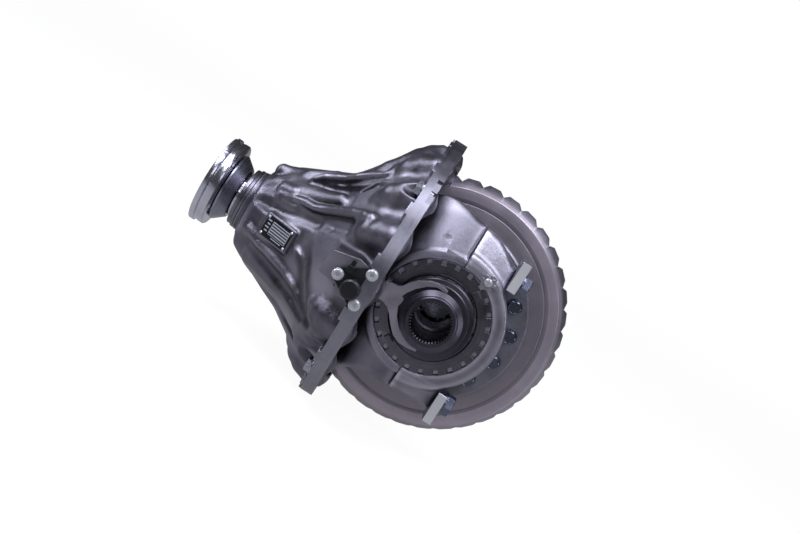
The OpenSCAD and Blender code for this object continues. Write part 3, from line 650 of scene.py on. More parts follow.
def housing_skin():
    f = Field((-103, -232, -232), (284, 240, 232), 2.0)
    f.apply(loft([(1, 0, 0, 227), (16, 0, 0, 225.5), (58, -10, -8, 203), (138, -50, -32, 139), (232, -61, -36, 97.5), (262, -62, -36, 68), (266, -62, -36, 66)]))
    f.apply(cyl("X", 57.8, 250, 278, PY, PZ, 3), k=8)

    def add(p, k=9.0, mode="add"):
        f.apply(rib(p), mode, k, around(p, k + 4))

    # crest of the bell
    add([(200, -18, 66, 10), (162, -20, 86, 10), (142, -6, 95, 10), (124, 8, 109, 11), (104, 8, 132, 12), (84, 4, 158, 13), (62, 14, 184, 14), (40, 34, 203, 13)], 14)
    add([(104, 30, 124, 9), (88, 24, 150, 14), (66, 30, 174, 18), (46, 44, 188, 18), (28, 62, 196, 14)], 18)
    # raised field between the two long ribs
    add([(200, 10, 30, 17), (172, 26, 40, 20), (146, 42, 50, 21), (126, 60, 62, 19)], 12)
    # long rib, proud at its end and undercut along its lower side
    add([(196, 40, 26, 6), (177, 49, 30, 8), (159, 61, 32, 8.5), (136, 77, 44, 9), (113, 106, 59, 9.5), (93, 134, 71, 10), (75, 159, 80, 9.5), (66, 172, 85, 7.5)], 4)
    add([(184, 58, 15, 4), (168, 67, 17, 6), (144, 84, 22, 8), (119, 111, 31, 8), (96, 142, 42, 8), (74, 170, 54, 5)], 10, "cut")
    add([(256, 14, -13, 7), (234, 34, -9, 10), (208, 52, -2, 11), (180, 66, 8, 11), (148, 82, 16, 11)], 9, "cut")
    # deep pocket under the crest
    add([(190, 8, 68, 5), (176, 6, 79, 8), (158, 8, 88, 9), (142, 12, 97, 9), (125, 30, 112, 9), (106, 44, 128, 8), (86, 66, 144, 6)], 6)
    add([(192, 18, 59, 4), (176, 20, 68, 8), (156, 29, 75, 11), (138, 36, 84, 13), (123, 54, 94, 13), (109, 68, 107, 11), (94, 78, 124, 8), (76, 98, 140, 4)], 3, "cut")
    add([(127, 60, 90, 6), (118, 80, 85, 6), (116, 90, 76, 5)], 8, "cut")
    # broad lobes between the flange bolts, running up the bell
    prof = np.array([(16, 0, 0, 225.5), (58, -10, -8, 203), (138, -50, -32, 139)])
    for i in range(16):
        ang = 24 + 22.5 * i
        a = math.radians(ang)
        q = []
        for x, r, d in ((18, 29, 15), (36, 29, 14), (52, 26, 15), (68, 18, 15)):
            cy_, cz_, rr = [float(np.interp(x, prof[:, 0], prof[:, c])) for c in (1, 2, 3)]
            q.append((x, cy_ + (rr - d) * math.sin(a), cz_ + (rr - d) * math.cos(a), r))
        add(q, 13)
    # ears and bosses of the nose
    add([(248, -38, 42, 15), (232, -38, 48, 12), (206, -34, 60, 8)], 10)
    add([(250, -20, 14, 15), (240, -12, 22, 15)], 8)
    add([(222, 11, 24, 15), (204, 21, 28, 15), (200, 27, 20, 14), (220, 17, 14, 14)], 3)
    # flowing ribs under the name plate
    add([(246, -18, -98, 14), (216, 6, -103, 16), (184, 28, -105, 16), (151, 48, -109, 16), (116, 82, -112, 15), (82, 122, -118, 14), (49, 154, -127, 12)], 16)
    add([(240, 22, -66, 10), (206, 44, -74, 12), (175, 59, -80, 12), (141, 74, -92, 12), (104, 113, -101, 11), (71, 148, -112, 11), (36, 176, -118, 10)], 14)
    add([(146, 86, -40, 6), (128, 104, -46, 9), (111, 120, -67, 11), (90, 138, -90, 11), (62, 163, -104, 11), (32, 187, -103, 9)], 13)
    add([(184, 80, 2, 7), (156, 96, -18, 14), (136, 116, -50, 16), (116, 132, -78, 13), (92, 150, -100, 9), (70, 166, -116, 5)], 16, "cut")
    add([(232, 36, -86, 6), (196, 58, -92, 9), (156, 78, -100, 10), (118, 110, -107, 9), (86, 146, -119, 7)], 12, "cut")
    add([(232, -50, -146, 4), (196, -20, -150, 8), (150, 14, -152, 9), (110, 50, -158, 8), (70, 90, -166, 5)], 10, "cut")
    # pad for the name plate
    g = math.radians(29.4)

    def pad(X, Y, Z):
        # local axes: x along the slope, y across, z out of the metal
        px, py_, pz_ = X - 192, Y - 60, Z + 37
        lx = px * math.cos(g) - py_ * math.sin(g)
        lz = px * math.sin(g) + py_ * math.cos(g)
        q = [np.abs(lx) - 32, np.abs(pz_) - 19.5, np.abs(lz + 5) - 6.2]
        out = np.sqrt(sum(np.maximum(v, 0) ** 2 for v in q))
        return out + np.minimum(np.maximum(np.maximum(q[0], q[1]), q[2]), 0) - 2.0
    f.apply(pad, "add", 9, ((140, 20, -75), (245, 110, 0)))
    # lock actuator pad
    P = [(7.5, 18.5), (44, 28.5), (86.5, 18.5), (90.5, -18.5), (58, -22.5), (53.5, -36.5), (7.5, -36.5)]
    f.apply(slab(P, 118, 233.6, 3), "add", 14, ((-5, 100, -60), (120, 240, 50)))
    # the pocket keeps its floor over the ring gear's sweep
    f.apply(lambda X, Y, Z: np.maximum(cyl("Y", 229.5, -16, 68, DX, 0)(X, Y, Z), np.maximum(np.maximum(np.abs(X - 105) - 40, np.abs(Y - 46) - 34), np.abs(Z - 105) - 45)), "add", 3, ((60, 6, 55), (150, 86, 156)))
    # inside: the cavity leaves metal under every hollow of the skin, and is open at the mouth
    keep = f.d + 7.0 - 3 * np.maximum(12 - f.X, 0)
    f.apply(lambda X, Y, Z: np.maximum(cavity(X, Y, Z), keep), "cut", 3)
    f.apply(cyl("Y", 223.5, -10, 61, DX, 0), "cut", 2)
    f.apply(cyl("X", 104, 100, 128.5, PY, PZ), "cut", 3)
    f.apply(block((-2, 150, -34), (60, 203.5, 16), 2), "cut", 3, ((-12, 140, -44), (70, 214, 26)))
    for r, a, b in ((76, 118, 170), (50, 118, 230), (58, 222, 256), (52, 250, 281)):
        f.apply(cyl("X", r, a, b, PY, PZ), "cut", 1.5, ((a - 8, PY - r - 8, PZ - r - 8), (b + 8, PY + r + 8, PZ + r + 8)))
    # spot faces round the flange
    for i in range(16):
        a = math.radians(12.75 + 22.5 * i)
        c = (236 * math.sin(a), 236 * math.cos(a))
        f.apply(cyl("X", 16, 20, 90, *c), "cut", 3, ((10, c[0] - 24, c[1] - 24), (98, c[0] + 24, c[1] + 24)))
    for a in (46.5, 136.5, 226.5, 316.5):
        c = (236 * math.sin(math.radians(a)), 236 * math.cos(math.radians(a)))
        f.apply(cyl("X", 17, 20, 90, *c), "cut", 3, ((10, c[0] - 24, c[1] - 24), (98, c[0] + 24, c[1] + 24)))
    # bearing pedestals: each is a barrel whose face falls away from the bearing boss
    L = [(34, 172), (34, 180), (-38, 178), (-74, 168), (-97.8, 165), (-97.8, -139), (-45, -144), (0, -168), (34, -172)]
    for s in (1, -1):
        y0, y1 = sorted((s * 104, s * 160))
        f.apply(barrel(L, s, 5), "add", 5, ((-103, y0 - 10, -190), (44, y1 + 10, 190)))
        q = [(-53, s * 160, 106, 3), (-50, s * 155, 121, 6), (-46, s * 146, 138, 2.5)]
        f.apply(rib(q), "cut", 6, around(q, 10))
        f.apply(cyl("Y", 107, *sorted((s * 120, s * 160.2)), DX, 0, 1.5), "add", 5, ((-103, y0 - 4, -114), (16, y1 + 6, 114)))
        f.apply(block((-140, -400, -400), (-98, 400, 400)), "cut", 0)
        f.apply(cyl("Y", 93.6, *sorted((s * 134, s * 170)), DX, 0), "cut", 1.2, ((-103, y0 - 8, -104), (10, y1 + 12, 104)))
        f.apply(cyl("Y", 90.02, *sorted((s * 100, s * 140)), DX, 0), "cut", 1.2, ((-103, y0 - 8, -104), (10, y1 + 12, 104)))
    f.apply(block((-140, -400, -400), (-98, 400, 400)), "cut", 0)
    f.apply(block((10, 104, -36), (58, 158, 8), 3), "add", 4, ((0, 94, -46), (68, 168, 18)))
    f.apply(cyl("Y", 9.4, 98, 162, 34, -15), "cut", 1, ((20, 92, -30), (48, 168, 0)))
    f.apply(cyl("Y", 18.3, 209, 238, 34, -15), "cut", 1, ((10, 200, -40), (60, 240, 12)))
    f.apply(cyl("Y", 15, 140, 172, 34, -15), "cut", 0.5, ((14, 132, -36), (54, 178, 6)))      # spring pocket
    f.apply(cyl("Y", 9.8, 196, 216, 34, -15), "cut", 0.5, ((20, 190, -30), (48, 222, 0)))     # rod bore
    p, faces = f.skin()
    # painted shade is eased off on the pedestal side and deepened in a patch below the long rib; painted highlight is
    # added on the legs next to the flange, where the flange casts its shadow
    f.sunk *= np.clip(0.3 + (p[:, 0] + 20) / 40, 0.3, 1)
    f.sunk += 0.17 * np.exp(-np.sum((p - np.array((118, 108, 22))) ** 2, axis=1) / 58 ** 2)
    f.proud += 0.2 * np.clip(-p[:, 0] / 15, 0, 1) * np.clip((p[:, 0] + 85) / 35, 0, 1)
    return p, faces, f


p, faces, field = housing_skin()
me = bpy.data.meshes.new("housing_casting")
me.from_pydata(p.tolist(), [], faces)
me.validate()
field.write(me)
housing = finish_mesh("housing_casting", me, "housing", "carrier", ("carrier_housing",), angle=75)

# machined mounting flange, with its holes, jack screw holes and the two pry notches
flange = mesh_of("flange", *revolve(rounded([(212, 0), (250, 0), (250, 22), (212, 22)], 0.01, 1), lambda r, a, t: (a, r * math.cos(t), r * math.sin(t)), 240))
tools = []
holes = []
for i in range(16):
    a = math.radians(12.75 + 22.5 * i)
    holes.append(placed(disc([(8.5, -2), (8.5, 24)], 40), frame_at((0, 236 * math.sin(a), 236 * math.cos(a)), (1, 0, 0))))
for a in (46.5, 136.5, 226.5, 316.5):
    a = math.radians(a)
    holes.append(placed(disc([(8.1, -2), (8.1, 24)], 40), frame_at((0, 236 * math.sin(a), 236 * math.cos(a)), (1, 0, 0))))
tools.append(join(holes))
notch = []
for a in (46.5, 226.5):
    a = math.radians(a)
    m = frame_at((0, 236 * math.sin(a), 236 * math.cos(a)), (1, 0, 0), (0, math.sin(a), math.cos(a)))
    notch.append(placed(prism([(7, -26), (30, -26), (30, 26), (7, 26)], -1, 9), m))
tools.append(join(notch))
tools.append(placed(disc([(18.3, 196), (18.3, 238.5)], 48), frame_at((34, 0, -15), (0, 1, 0))))
me = cut(flange, tools)
pads = []
for i in range(16):
    a = math.radians(12.75 + 22.5 * i)
    m = frame_at((21.6, 236 * math.sin(a), 236 * math.cos(a)), (1, 0, 0), (0, math.sin(a), math.cos(a)))
    pads.append(placed(prism(rounded([(-17, -15), (13.6, -13), (13.6, 13), (-17, 15)], 3, 4), 0, 5.2), m))
pad_me = mesh_of("pads", *join(pads))
pad_me = cut(pad_me, [join([placed(disc([(8.5, -2), (8.5, 12)], 40), frame_at((20, 236 * math.sin(a), 236 * math.cos(a)), (1, 0, 0))) for a in [math.radians(12.75 + 22.5 * i) for i in range(16)]])])
finish_mesh("flange_bolt_pads", pad_me, "rim", "carrier", angle=30, bevel=0.8, seg=3, limit=40)
finish_mesh("flange_ring", me, "rim", "carrier", angle=30, bevel=0.7, seg=2, limit=40)

# machined strips beside the adjuster thread, where the joint of leg and cap was faced
parts = []
for s in (1, -1):
    for x0, x1 in ((-97.6, -61), (-126, -98.4)):
        y0, y1 = sorted((s * 152, s * 161.2))
        parts.append(prism(rounded([(x0, 100.4), (x1, 100.4 if x1 > -98 else 99.2), (x1, 106.6), (x0, 106.6 if x1 > -98 else 104.4)], 1.2, 3), 0, y1 - y0))
        V, F = parts[-1]
        parts[-1] = ([(x, y1 - h, z) for x, z, h in V], F)
finish_mesh("faced_strips", mesh_of("fst", *join(parts)), "slot", "carrier", angle=30, bevel=0.5, seg=2)

# machined top of the lock actuator pad
out = rounded([(6, 20), (44, 30), (88, 20), (92, -20), (58, -24), (54, -38), (6, -38)], 4, 4)
me = mesh_of("actuator_land", *placed(prism([(x, -z) for x, z in out], 0, 3.2), frame_at((0, 232.9, 0), (0, 1, 0), (1, 0, 0))))
me = cut(me, [placed(disc([(18.3, 225), (18.3, 240)], 48), frame_at((34, 0, -15), (0, 1, 0)))])
finish_mesh("actuator_land", me, "cap", "carrier", angle=30, bevel=0.6, seg=2)


# ------------------------------------------------------------------ ring gear
def ring_gear():
    k70, c70, s70 = math.radians(70), math.cos(math.radians(70)), math.sin(math.radians(70))
    root, tip = -14 / 232, 5 / 232
    half = lambda v: 2.3 - v * (0.495 / s70) * 57.29578
    prof = [(-5.0, root), (-4.55, root), (-half(root) - 0.02, root + 0.004)]
    for w in (0.12, 0.3, 0.5, 0.7, 0.86):
        v = root + (tip - root) * w
        prof.append((-half(v), v))
    prof.append((-half(tip) - 0.05, tip - 0.0035))
    prof.append((-half(tip) + 0.22, tip))
    prof = prof + [(-a, v) for a, v in prof[::-1] if a > -5.0 + 1e-9]
    rows = []
    ss = [165, 165.8] + list(np.linspace(168, 229.5, 17)) + [231.2, 232]
    for s in ss:
        drop = {165: 0.007, 231.2: 0.002, 232: 0.0075}.get(s, 0.0)
        sp = 0.657 * math.log(s / 200) * 57.29578
        row = []
        heel = max(0.0, min(1.0, (s - 222) / 6))
        for t in range(36):
            for a, v in prof:
                if v > root + 0.002:
                    a = a + math.copysign(0.75 * heel, a)
                else:
                    v = v - 0.012 * heel
                v2 = min(v, tip - drop)
                q, y = s * (s70 + v2 * c70), -52.3 + s * (c70 - v2 * s70)
                row.append(about_y(q, y, math.radians(sp + 10 * t + a)))
        rows.append(row)
    tooth_rows = len(rows)
    back = rounded([(218.5, 38.6), (210.5, 45.2), (204, 51.7), (204, 54.9), (202.7, 56), (181.5, 56), (180.9, 55.3), (179.1, 55.3), (178.5, 56), (116.2, 56), (116.2, 17.0), (150, 15.2)], 0.5, 2, closed=False)[1:]
    n = len(rows[-1])
    sp = 0.657 * math.log(232 / 200) * 57.29578
    sp0 = 0.657 * math.log(165 / 200) * 57.29578
    for i, (r, y) in enumerate(back):
        base = sp if y > 30 else sp0
        rows.append([about_y(r, y, math.radians(base + 10 * t + a)) for t in range(36) for a, v in prof])
    R = len(rows)
    V = [q for row in rows for q in row]
    F, mats = [], []
    for a in range(R):
        for i in range(n):
            F.append([a * n + i, ((a + 1) % R) * n + i, ((a + 1) % R) * n + (i + 1) % n, a * n + (i + 1) % n])
            mats.append(1 if (a < tooth_rows or a >= R - 1) else 0)
    me = bpy.data.meshes.new("ring_gear_cut")
    me.from_pydata(V, [], F)
    me.polygons.foreach_set("material_index", mats)
    bm = bmesh.new()
    bm.from_mesh(me)
    bmesh.ops.recalc_face_normals(bm, faces=bm.faces)
    bm.to_mesh(me)
    bm.free()
    return me


finish_mesh("ring_gear_cut", ring_gear(), ["ring", "teeth"], "differential_case", ("ring_gear",), angle=34)

# bolts of the ring gear, forged hex heads on hardened washers
parts_h, parts_w = [], []
for i in range(16):
    t = math.radians(11.25 + 22.5 * i)
    m = frame_at(about_y(129.5, 72.02, t), (0, 1, 0), (math.cos(t * 3 + i), 0, math.sin(t * 3 + i)))
    parts_w.append(placed(washer(7.6, 14, 0, 3.0, 48), m))
    parts_h.append(placed(join([hexhead(20.6, 10.6, 3.02, dish=0.5), washer(9.2, 11.9, 2.99, 4.2, 48, 0.4)]), m))
finish_mesh("ring_bolt_heads", mesh_of("rb", *join(parts_h)), "blued", "differential_case", ("ring_gear_bolts",), angle=28)
finish_mesh("ring_bolt_washers", mesh_of("rw", *join(parts_w)), "blued", "differential_case", angle=28)

# cap bolts
parts = []
for s in (1, -1):
    for z in (115, -115):
        m = frame_at((-188, s * 132, z), (-1, 0, 0), (0, math.cos(0.5), math.sin(0.5)))
        parts.append(placed(join([washer(10.9, 19, 0, 3.5, 64, 0.5), hexhead(32, 13, 3.4, dish=0.7), washer(12, 16.6, 3.3, 5.0, 64, 0.4)]), m))
finish_mesh("cap_bolt_heads", mesh_of("cb", *join(parts)), "blued", "carrier", ("cap_bolts",), angle=28)

# socket screws of the actuator cover and the slotted screws of the adjuster locks
parts = []
for x, z in ((62, -5.6), (17, 20.5), (16, -33)):
    m = frame_at((x, 249.0, z), (0, 1, 0), (1, 0, 0))
    parts.append(placed(washer(4.1, 9.6, 0.02, 1.3, 48, 0.3), m))
    head = mesh_of("hd", *placed(disc([(8.0, 1.2), (8.5, 1.7), (8.5, 5.4), (7.6, 6.6), (5.2, 7.0)], 56), m))
    star = [((4.5 if k % 2 else 3.5) * math.cos(TAU * k / 12), (4.5 if k % 2 else 3.5) * math.sin(TAU * k / 12)) for k in range(12)]
    head = cut(head, [placed(prism(rounded(star, 0.5, 2), 3.4, 9.0), m)])
    parts.append(([tuple(v.co) for v in head.vertices], [list(f.vertices) for f in head.polygons]))
    parts.append(placed(disc([(3.9, -26), (3.9, 1.3)], 40), m))
finish_mesh("cover_socket_screws", mesh_of("cs", *join(parts)), "zinc", "carrier", ("lock_cover_screws",), angle=28, bevel=0.25, seg=2, limit=40)
parts = []
for s in (1, -1):
    t = math.radians(4.7 + 240)
    m = frame_at(about_y(104, s * 163.45, t), (0, s, 0), (math.cos(t + 0.5), 0, -math.sin(t + 0.5)))
    head = mesh_of("hd", *placed(disc([(6.2, 0), (6.6, 0.4), (6.6, 2.6), (5.4, 4.2), (3.0, 4.9)], 56), m))
    head = cut(head, [placed(prism([(-5.2, -0.8), (5.2, -0.8), (5.2, 0.8), (-5.2, 0.8)], 2.9, 7.0), m), placed(prism([(-0.8, -4.2), (0.8, -4.2), (0.8, 4.2), (-0.8, 4.2)], 2.9, 7.0), m)])
    parts.append(([tuple(v.co) for v in head.vertices], [list(f.vertices) for f in head.polygons]))
    parts.append(placed(disc([(3.9, -15), (3.9, 0.3)], 40), m))
finish_mesh("lock_cross_screws", mesh_of("lx", *join(parts)), "zinc", "carrier", ("adjuster_lock_screws",), angle=28, bevel=0.2, seg=2, limit=40)

# jack screws in the flange
parts = []
for a in (46.5, 136.5, 226.5, 316.5):
    a = math.radians(a)
    m = frame_at((22.02, 236 * math.sin(a), 236 * math.cos(a)), (1, 0, 0), (0, math.cos(a), math.sin(a)))
    parts.append(placed(join([washer(8.2, 14, 0, 2.4, 48, 0.3), hexhead(22, 9.5, 2.3, dish=0.4)]), m))
    m2 = frame_at((2.0, 236 * math.sin(a), 236 * math.cos(a)), (1, 0, 0))
    parts.append(placed(disc([(6.5, 0), (7.9, 1.4), (7.9, 20.5)], 48), m2))
finish_mesh("jack_screw_heads", mesh_of("jk", *join(parts)), "machined", "carrier", ("jack_screws",), angle=28)

# ------------------------------------------------------------------ skins with broken edges


def cap_skin(s):
    """A bearing cap: a half ring with a rounded bolt boss at each end."""
    y0, y1 = sorted((s * 104, s * 160))
    f = Field((-222, y0 - 8, -160), (-92, y1 + 8, 160), 1.5)
    f.apply(cyl("Y", 118, y0, y1, DX, 0, 7))
    up = [(-172, 97), (-90, 97), (-90, 166), (-98, 165), (-127, 157.5), (-147, 146), (-164, 134), (-172, 132)]
    f.apply(barrel(up, s, 5), "add", 10)
    low = [(-172, -97), (-172, -139), (-90, -139), (-90, -97)]
    f.apply(barrel(low, s, 5), "add", 10)
    # the web behind the upper ear is hollowed
    q = [(-140, s * 150, 158, 5), (-154, s * 146, 148, 9), (-166, s * 140, 140, 8)]
    f.apply(rib(q), "cut", 4, around(q, 10))
    f.apply(cyl("Y", 93.6, *sorted((s * 134, s * 175)), DX, 0), "cut", 1.2)
    f.apply(cyl("Y", 90.02, *sorted((s * 95, s * 140)), DX, 0), "cut", 1.2)
    f.apply(block((-98.05, -400, -400), (-20, 400, 400)), "cut", 0.3)
    return (*f.skin(), f)


for s, tag in ((1, "near"), (-1, "far")):
    p, faces, field = cap_skin(s)
    me = bpy.data.meshes.new("cap_casting_" + tag)
    me.from_pydata(p.tolist(), [], faces)
    me.validate()
    field.write(me)
    finish_mesh("cap_casting_" + tag, me, "cap", "carrier", ("bearing_cap_" + tag,), angle=70)
    parts = []
    for z in (1, -1):
        y0, y1 = sorted((s * 106, s * 158.5))
        zz = sorted((z * 98, z * 152))
        parts.append(placed(prism(rounded([(y0, zz[0]), (y1, zz[0]), (y1, zz[1]), (y0, zz[1])], 3, 3), 0, 16.4), frame_at((-188, 0, 0), (1, 0, 0), (0, 1, 0))))
    me = mesh_of("cap_ends_" + tag, *join(parts))
    finish_mesh("cap_ends_" + tag, me, "rim", "carrier", angle=30, bevel=0.8, seg=2)
for s, tag in ((1, "near"), (-1, "far")):
    parts = []
    for z in (1, -1):
        out = rounded([(-187.6, z * 99.5), (-172.6, z * 99.5), (-172.6, z * 151.5), (-187.6, z * 151.5)], 1.0, 3)
        parts.append(placed(prism([(x, -q) for x, q in out], 0, 0.5), frame_at((0, s * 158.4 if s > 0 else s * 158.9, 0), (0, 1, 0), (1, 0, 0))))
    finish_mesh("cap_end_faces_" + tag, mesh_of("ce" + tag, *join(parts)), "faced", "carrier", angle=30)
for tag, body in (("near", "carrier"), ("far", "carrier")):
    refined("adjuster_" + tag, "adjuster", body, 0.55, 2)
for s, tag in ((1, "near"), (-1, "far")):
    parts = []
    for i in range(24):
        t = math.radians(15 * i + 4.7)
        m = frame_at(about_y(89.2, s * 155.0, t), (0, s, 0), (math.cos(t), 0, -math.sin(t)))
        parts.append(placed(prism(rounded([(-3.4, -4.2), (3.9, -4.2), (3.9, 4.2), (-3.4, 4.2)], 0.8, 2), -0.6, 1.1), m))
    finish_mesh("adjuster_slot_floors_" + tag, mesh_of("sf" + tag, *join(parts)), "slot", "carrier", angle=30, bevel=0.35, seg=2)
parts = []
for s in (1, -1):
    t = math.radians(4.7 + 240)
    m = frame_at(about_y(104, s * 160.05, t), (0, s, 0), (math.cos(t), 0, -math.sin(t)))
    star = []
    for k in range(8):
        for da, r in ((-17, 9.2), (-11, 13.2), (11, 13.2), (17, 9.2)):
            a = math.radians(45 * k + 22.5 + da)
            star.append((r * math.cos(a), r * math.sin(a)))
    plate = mesh_of("st", *placed(prism(rounded(star, 0.8, 2), 0, 3.2), m))
    plate = cut(plate, [placed(disc([(4.3, -2), (4.3, 6)], 40), m)])
    parts.append(([tuple(v.co) for v in plate.vertices], [list(f.vertices) for f in plate.polygons]))
    parts.append(placed(prism([(-16.6, -4), (-8, -4), (-8, 4), (-16.6, 4)], 0.05, 3.1), m))
    parts.append(placed(prism([(9, -4.6), (14.6, -4.6), (14.6, 4.6), (9, 4.6)], 0.05, 2.4), m))
finish_mesh("adjuster_lock_stars", mesh_of("als", *join(parts)), "plates", "carrier", ("adjuster_locks",), angle=28, bevel=0.35, seg=2, limit=40)
refined("lock_cover", "black", "carrier", 1.0, 3)
refined("lock_switch", "black", "carrier", 0.9, 3)
refined("case_half_near", "case", "differential_case", 0.8, 2)
refined("case_half_far", "case", "differential_case", 0.9, 2)
refined("input_flange", "input", "pinion_line", 0.45, 2)
refined("dust_deflector", "deflector", "pinion_line", 0.5, 2)
refined("seal_retainer", "dark", "carrier", 0.6, 2)
refined("shift_fork", "fork", "shift_unit", 1.6, 3)
refined("flange_nut", "machined", "pinion_line", 0.6, 2)

# ------------------------------------------------------------------ lock sleeve with internal splines
def sleeve():
    teeth, n = 40, 40 * 10
    wave = []
    for i in range(n):
        u = (i % 10) / 10
        w = min(1.0, max(0.0, (abs(u - 0.5) - 0.17) / 0.12))
        wave.append(31.0 + 2.7 * (1 - w))
    outer = rounded([(62, 173.2), (62, 174), (66.7, 176), (66.7, 181.4), (65, 183.4), (58.5, 184.2), (57, 186.1), (47.5, 186.4), (47.5, 200.2), (49.8, 200.4), (49.8, 201.5), (44, 205), (41.5, 207), (40.6, 211.6), (38.6, 213), (34.9, 213)], 0.6, 3, closed=False)
    inner = [(0.0, 33.9, 213), (1.0, 0.9, 212.1), (1.0, 0.0, 211.0), (1.0, 0.0, 175), (1.0, 0.9, 173.9), (0.0, 33.9, 173.2)]
    V = []
    for i in range(n):
        t = TAU * i / n
        for r, y in outer:
            V.append(about_y(r, y, t))
        for k_, r, y in inner:
            V.append(about_y(wave[i] + r if k_ else r, y, t))
    m = len(outer) + len(inner)
    F = [[i * m + j, ((i + 1) % n) * m + j, ((i + 1) % n) * m + (j + 1) % m, i * m + (j + 1) % m] for i in range(n) for j in range(m)]
    dogs = []
    for i in range(24):
        t0 = TAU * i / 24
        ring = []
        for y in (167.5, 168.3, 173.6):
            e = 0.5 if y < 168 else 0.0
            for r, w in ((52.2 + e, 0.068 - e / 90), (65.3 - e, 0.054 - e / 90)):
                for sg in (-1, 1):
                    ring.append(about_y(r, y, t0 + sg * w))
        f = [[0, 1, 3, 2]]
        for a in (0, 4):
            f += [[a, a + 1, a + 5, a + 4], [a + 1, a + 3, a + 7, a + 5], [a + 3, a + 2, a + 6, a + 7], [a + 2, a, a + 4, a + 6]]
        f.append([8, 10, 11, 9])
        dogs.append((ring, f))
    return join([(V, F)] + dogs)


finish_mesh("lock_sleeve_splined", mesh_of("lock_sleeve_splined", *sleeve()), "sleeve", "dog_sleeve", ("lock_sleeve",), angle=30)

# name plate: an enamelled field of plain ruled lines and bars, riveted at its corners
g = math.radians(29.4)
plate_m = Matrix(((math.cos(g), 0, math.sin(g), 192), (-math.sin(g), 0, math.cos(g), 60), (0, -1, 0, -37), (0, 0, 0, 1)))
base = placed(prism(rounded([(-31, -18.5), (31, -18.5), (31, 18.5), (-31, 18.5)], 2.2, 4), 3.15, 4.4), plate_m)
finish_mesh("name_plate_blank", mesh_of("npb", *base), "plate_black", "carrier", ("name_plate",), angle=30, bevel=0.25, seg=2)
rules = []
for a, b, c, d in ((-27, -13.0, 14.6, 10.8),):
    rules.append(prism(rounded([(a, b), (c, b), (c, d), (a, d)], 0.5, 2), 4.38, 4.56))
for i in range(4):
    rules.append(prism([(18.5, -12 + 6.2 * i), (27.2 - (i % 2) * 2.2, -12 + 6.2 * i), (27.2 - (i % 2) * 2.2, -9.6 + 6.2 * i), (18.5, -9.6 + 6.2 * i)], 4.38, 4.54))
rules.append(prism([(-20, 13.0), (4, 13.0), (4, 14.6), (-20, 14.6)], 4.38, 4.54))
finish_mesh("name_plate_field", mesh_of("npf", *placed(join(rules), plate_m)), "plate_field", "carrier", angle=30)
lines = [prism([(-26, -11.0 + 4.7 * i), (13.6, -11.0 + 4.7 * i), (13.6, -9.1 + 4.7 * i), (-26, -9.1 + 4.7 * i)], 4.5, 4.80) for i in range(5)]
finish_mesh("name_plate_rules", mesh_of("npr", *placed(join(lines), plate_m)), "plate_black", "carrier", angle=30)

# ------------------------------------------------------------------ plain materials for the carried nodes
PLAIN = {
    "dark": ["case_bolts"],
    "bearing": ["diff_cup_near", "diff_cup_far", "diff_cone_near", "diff_cone_far", "diff_rollers_near", "diff_rollers_far"],
    "pbearing": ["pinion_cup_inner", "pinion_cup_outer", "pinion_cone_inner", "pinion_cone_outer", "pinion_rollers_inner", "pinion_rollers_outer"],
    "seal": ["pinion_seal", "piston_seal"],
    "zinc": ["plate_rivets"],
    "gear": ["side_gear_near", "side_gear_far", "planet_gear_front", "planet_gear_rear", "planet_gear_top", "planet_gear_bottom"],
    "teeth": ["drive_pinion"],
    "bronze": ["side_washer_near", "side_washer_far", "planet_washers"],
    "machined": ["spider_cross", "pinion_spacer", "flange_washer", "shift_rod", "lock_piston"],
    "spring": ["lock_spring"],
}
for mat, names in PLAIN.items():
    for n in names:
        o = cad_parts[n]
        if not o.material_slots:
            o.data.materials.append(M[mat])
        for s in o.material_slots:
            s.material = M[mat]

# ------------------------------------------------------------------ camera, light and floor
cam_d = bpy.data.cameras.new("view_camera")
cam = bpy.data.objects.new("view_camera", cam_d)
bpy.context.scene.collection.objects.link(cam)
right = Vector((-0.84619223, -0.08365893, 0.52626979))
up = Vector((0.5328717, -0.12813601, 0.83643823))
back = Vector((-0.00254142, 0.98822181, 0.15300718))
mw = Matrix.Identity(4)
for i, v in enumerate((right, up, back)):
    mw.col[i][:3] = v
mw.col[3][:3] = Vector((-0.01623, 2.03659, 0.33154))
cam.matrix_world = mw
cam_d.sensor_width = 36
cam_d.lens = 54.065
cam_d.clip_end = 60
bpy.context.scene.camera = cam
bpy.context.scene.view_settings.view_transform = "Standard"
bpy.context.scene.view_settings.look = "None"

world = bpy.data.worlds.new("studio")
world.use_nodes = True
bpy.context.scene.world = world
t = world.node_tree
bg = t.nodes["Background"]
lp = t.nodes.new("ShaderNodeLightPath")          # the backdrop reads white from every side, the room light falls off
mx = t.nodes.new("ShaderNodeMix")
mx.data_type = "FLOAT"
t.links.new(lp.outputs["Is Camera Ray"], mx.inputs[0])
mx.inputs[2].default_value = 0.045
mx.inputs[3].default_value = 1.03
t.links.new(mx.outputs[0], bg.inputs["Strength"])

bg.inputs["Color"].default_value = (0.97, 0.98, 1.0, 1)


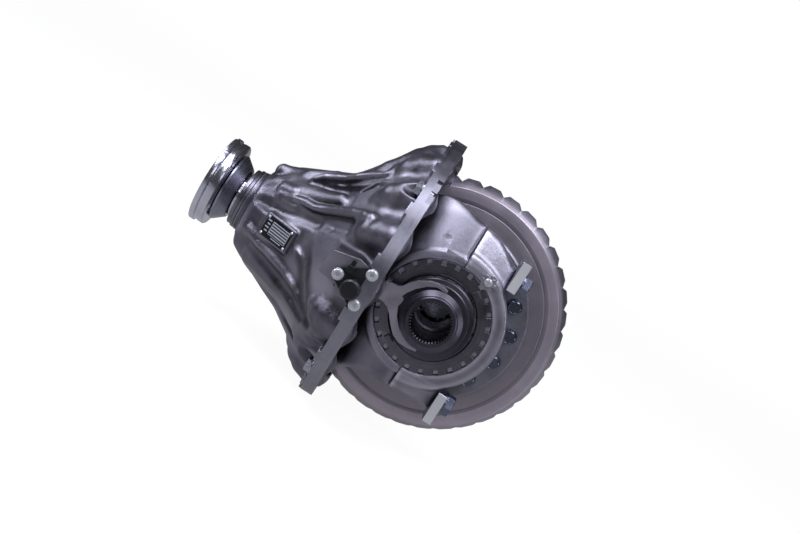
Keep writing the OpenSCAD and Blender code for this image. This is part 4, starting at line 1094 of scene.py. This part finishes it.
def softbox(name, where, size, power, aim=(0, 0, 0), colour=(1, 1, 1)):
    d = bpy.data.lights.new(name, "AREA")
    d.shape = "RECTANGLE"
    d.size, d.size_y = size
    d.energy = power
    d.color = colour
    o = bpy.data.objects.new(name, d)
    o.location = where
    o.rotation_euler = (Vector(where) - Vector(aim)).to_track_quat("Z", "Y").to_euler()
    bpy.context.scene.collection.objects.link(o)
    return o


cool = (0.88, 0.905, 1.0)
softbox("key_box", (1.0, 0.62, 1.55), (1.4, 0.9), 26, colour=cool)
softbox("top_box", (-0.6, 0.55, 1.95), (1.6, 0.9), 22, colour=cool)
softbox("side_box", (1.95, -0.10, 0.75), (0.6, 0.7), 8, colour=cool)
softbox("front_box", (-0.5, 2.7, 1.5), (1.9, 1.0), 11, colour=cool)
softbox("right_strip", (-1.9, 0.8, 0.5), (0.4, 1.3), 5, colour=cool)

fm = Nodes("floor_paper")
fm.b.inputs["Base Color"].default_value = (0.78, 0.78, 0.78, 1)
fm.link(fm.mix(fm.maprange(fm.noise(3, 2), 0.3, 0.7, 0, 1), (0.17, 0.17, 0.175), (0.19, 0.19, 0.195)), fm.b.inputs["Base Color"])
fm.b.inputs["Roughness"].default_value = 0.9
fm.b.inputs["Emission Color"].default_value = (1, 1, 1, 1)
fsep = fm.new("ShaderNodeSeparateXYZ")
fm.link(fm.co, fsep.inputs[0])
lpf = fm.new("ShaderNodeLightPath")
mxf = fm.new("ShaderNodeMix")
mxf.data_type = "FLOAT"
fm.link(lpf.outputs["Is Camera Ray"], mxf.inputs[0])
fm.link(fm.math("MULTIPLY", fm.maprange(fsep.outputs[1], -0.2, 1.3, 0.27, 0.02), fm.maprange(fsep.outputs[0], 0.5, 2.0, 1.0, 0.2)), mxf.inputs[2])
fm.link(fm.maprange(fsep.outputs[1], -9, -1.5, 1.02, 0.94), mxf.inputs[3])
fm.link(mxf.outputs[0], fm.b.inputs["Emission Strength"])
z = CAD_BOX[0][2] - 0.001
fmesh = bpy.data.meshes.new("floor")
fmesh.from_pydata([(-30, -30, z), (30, -30, z), (30, 30, z), (-30, 30, z)], [], [(0, 1, 2, 3)])
fmesh.materials.append(fm.m)
floor = bpy.data.objects.new("floor", fmesh)
bpy.context.scene.collection.objects.link(floor)
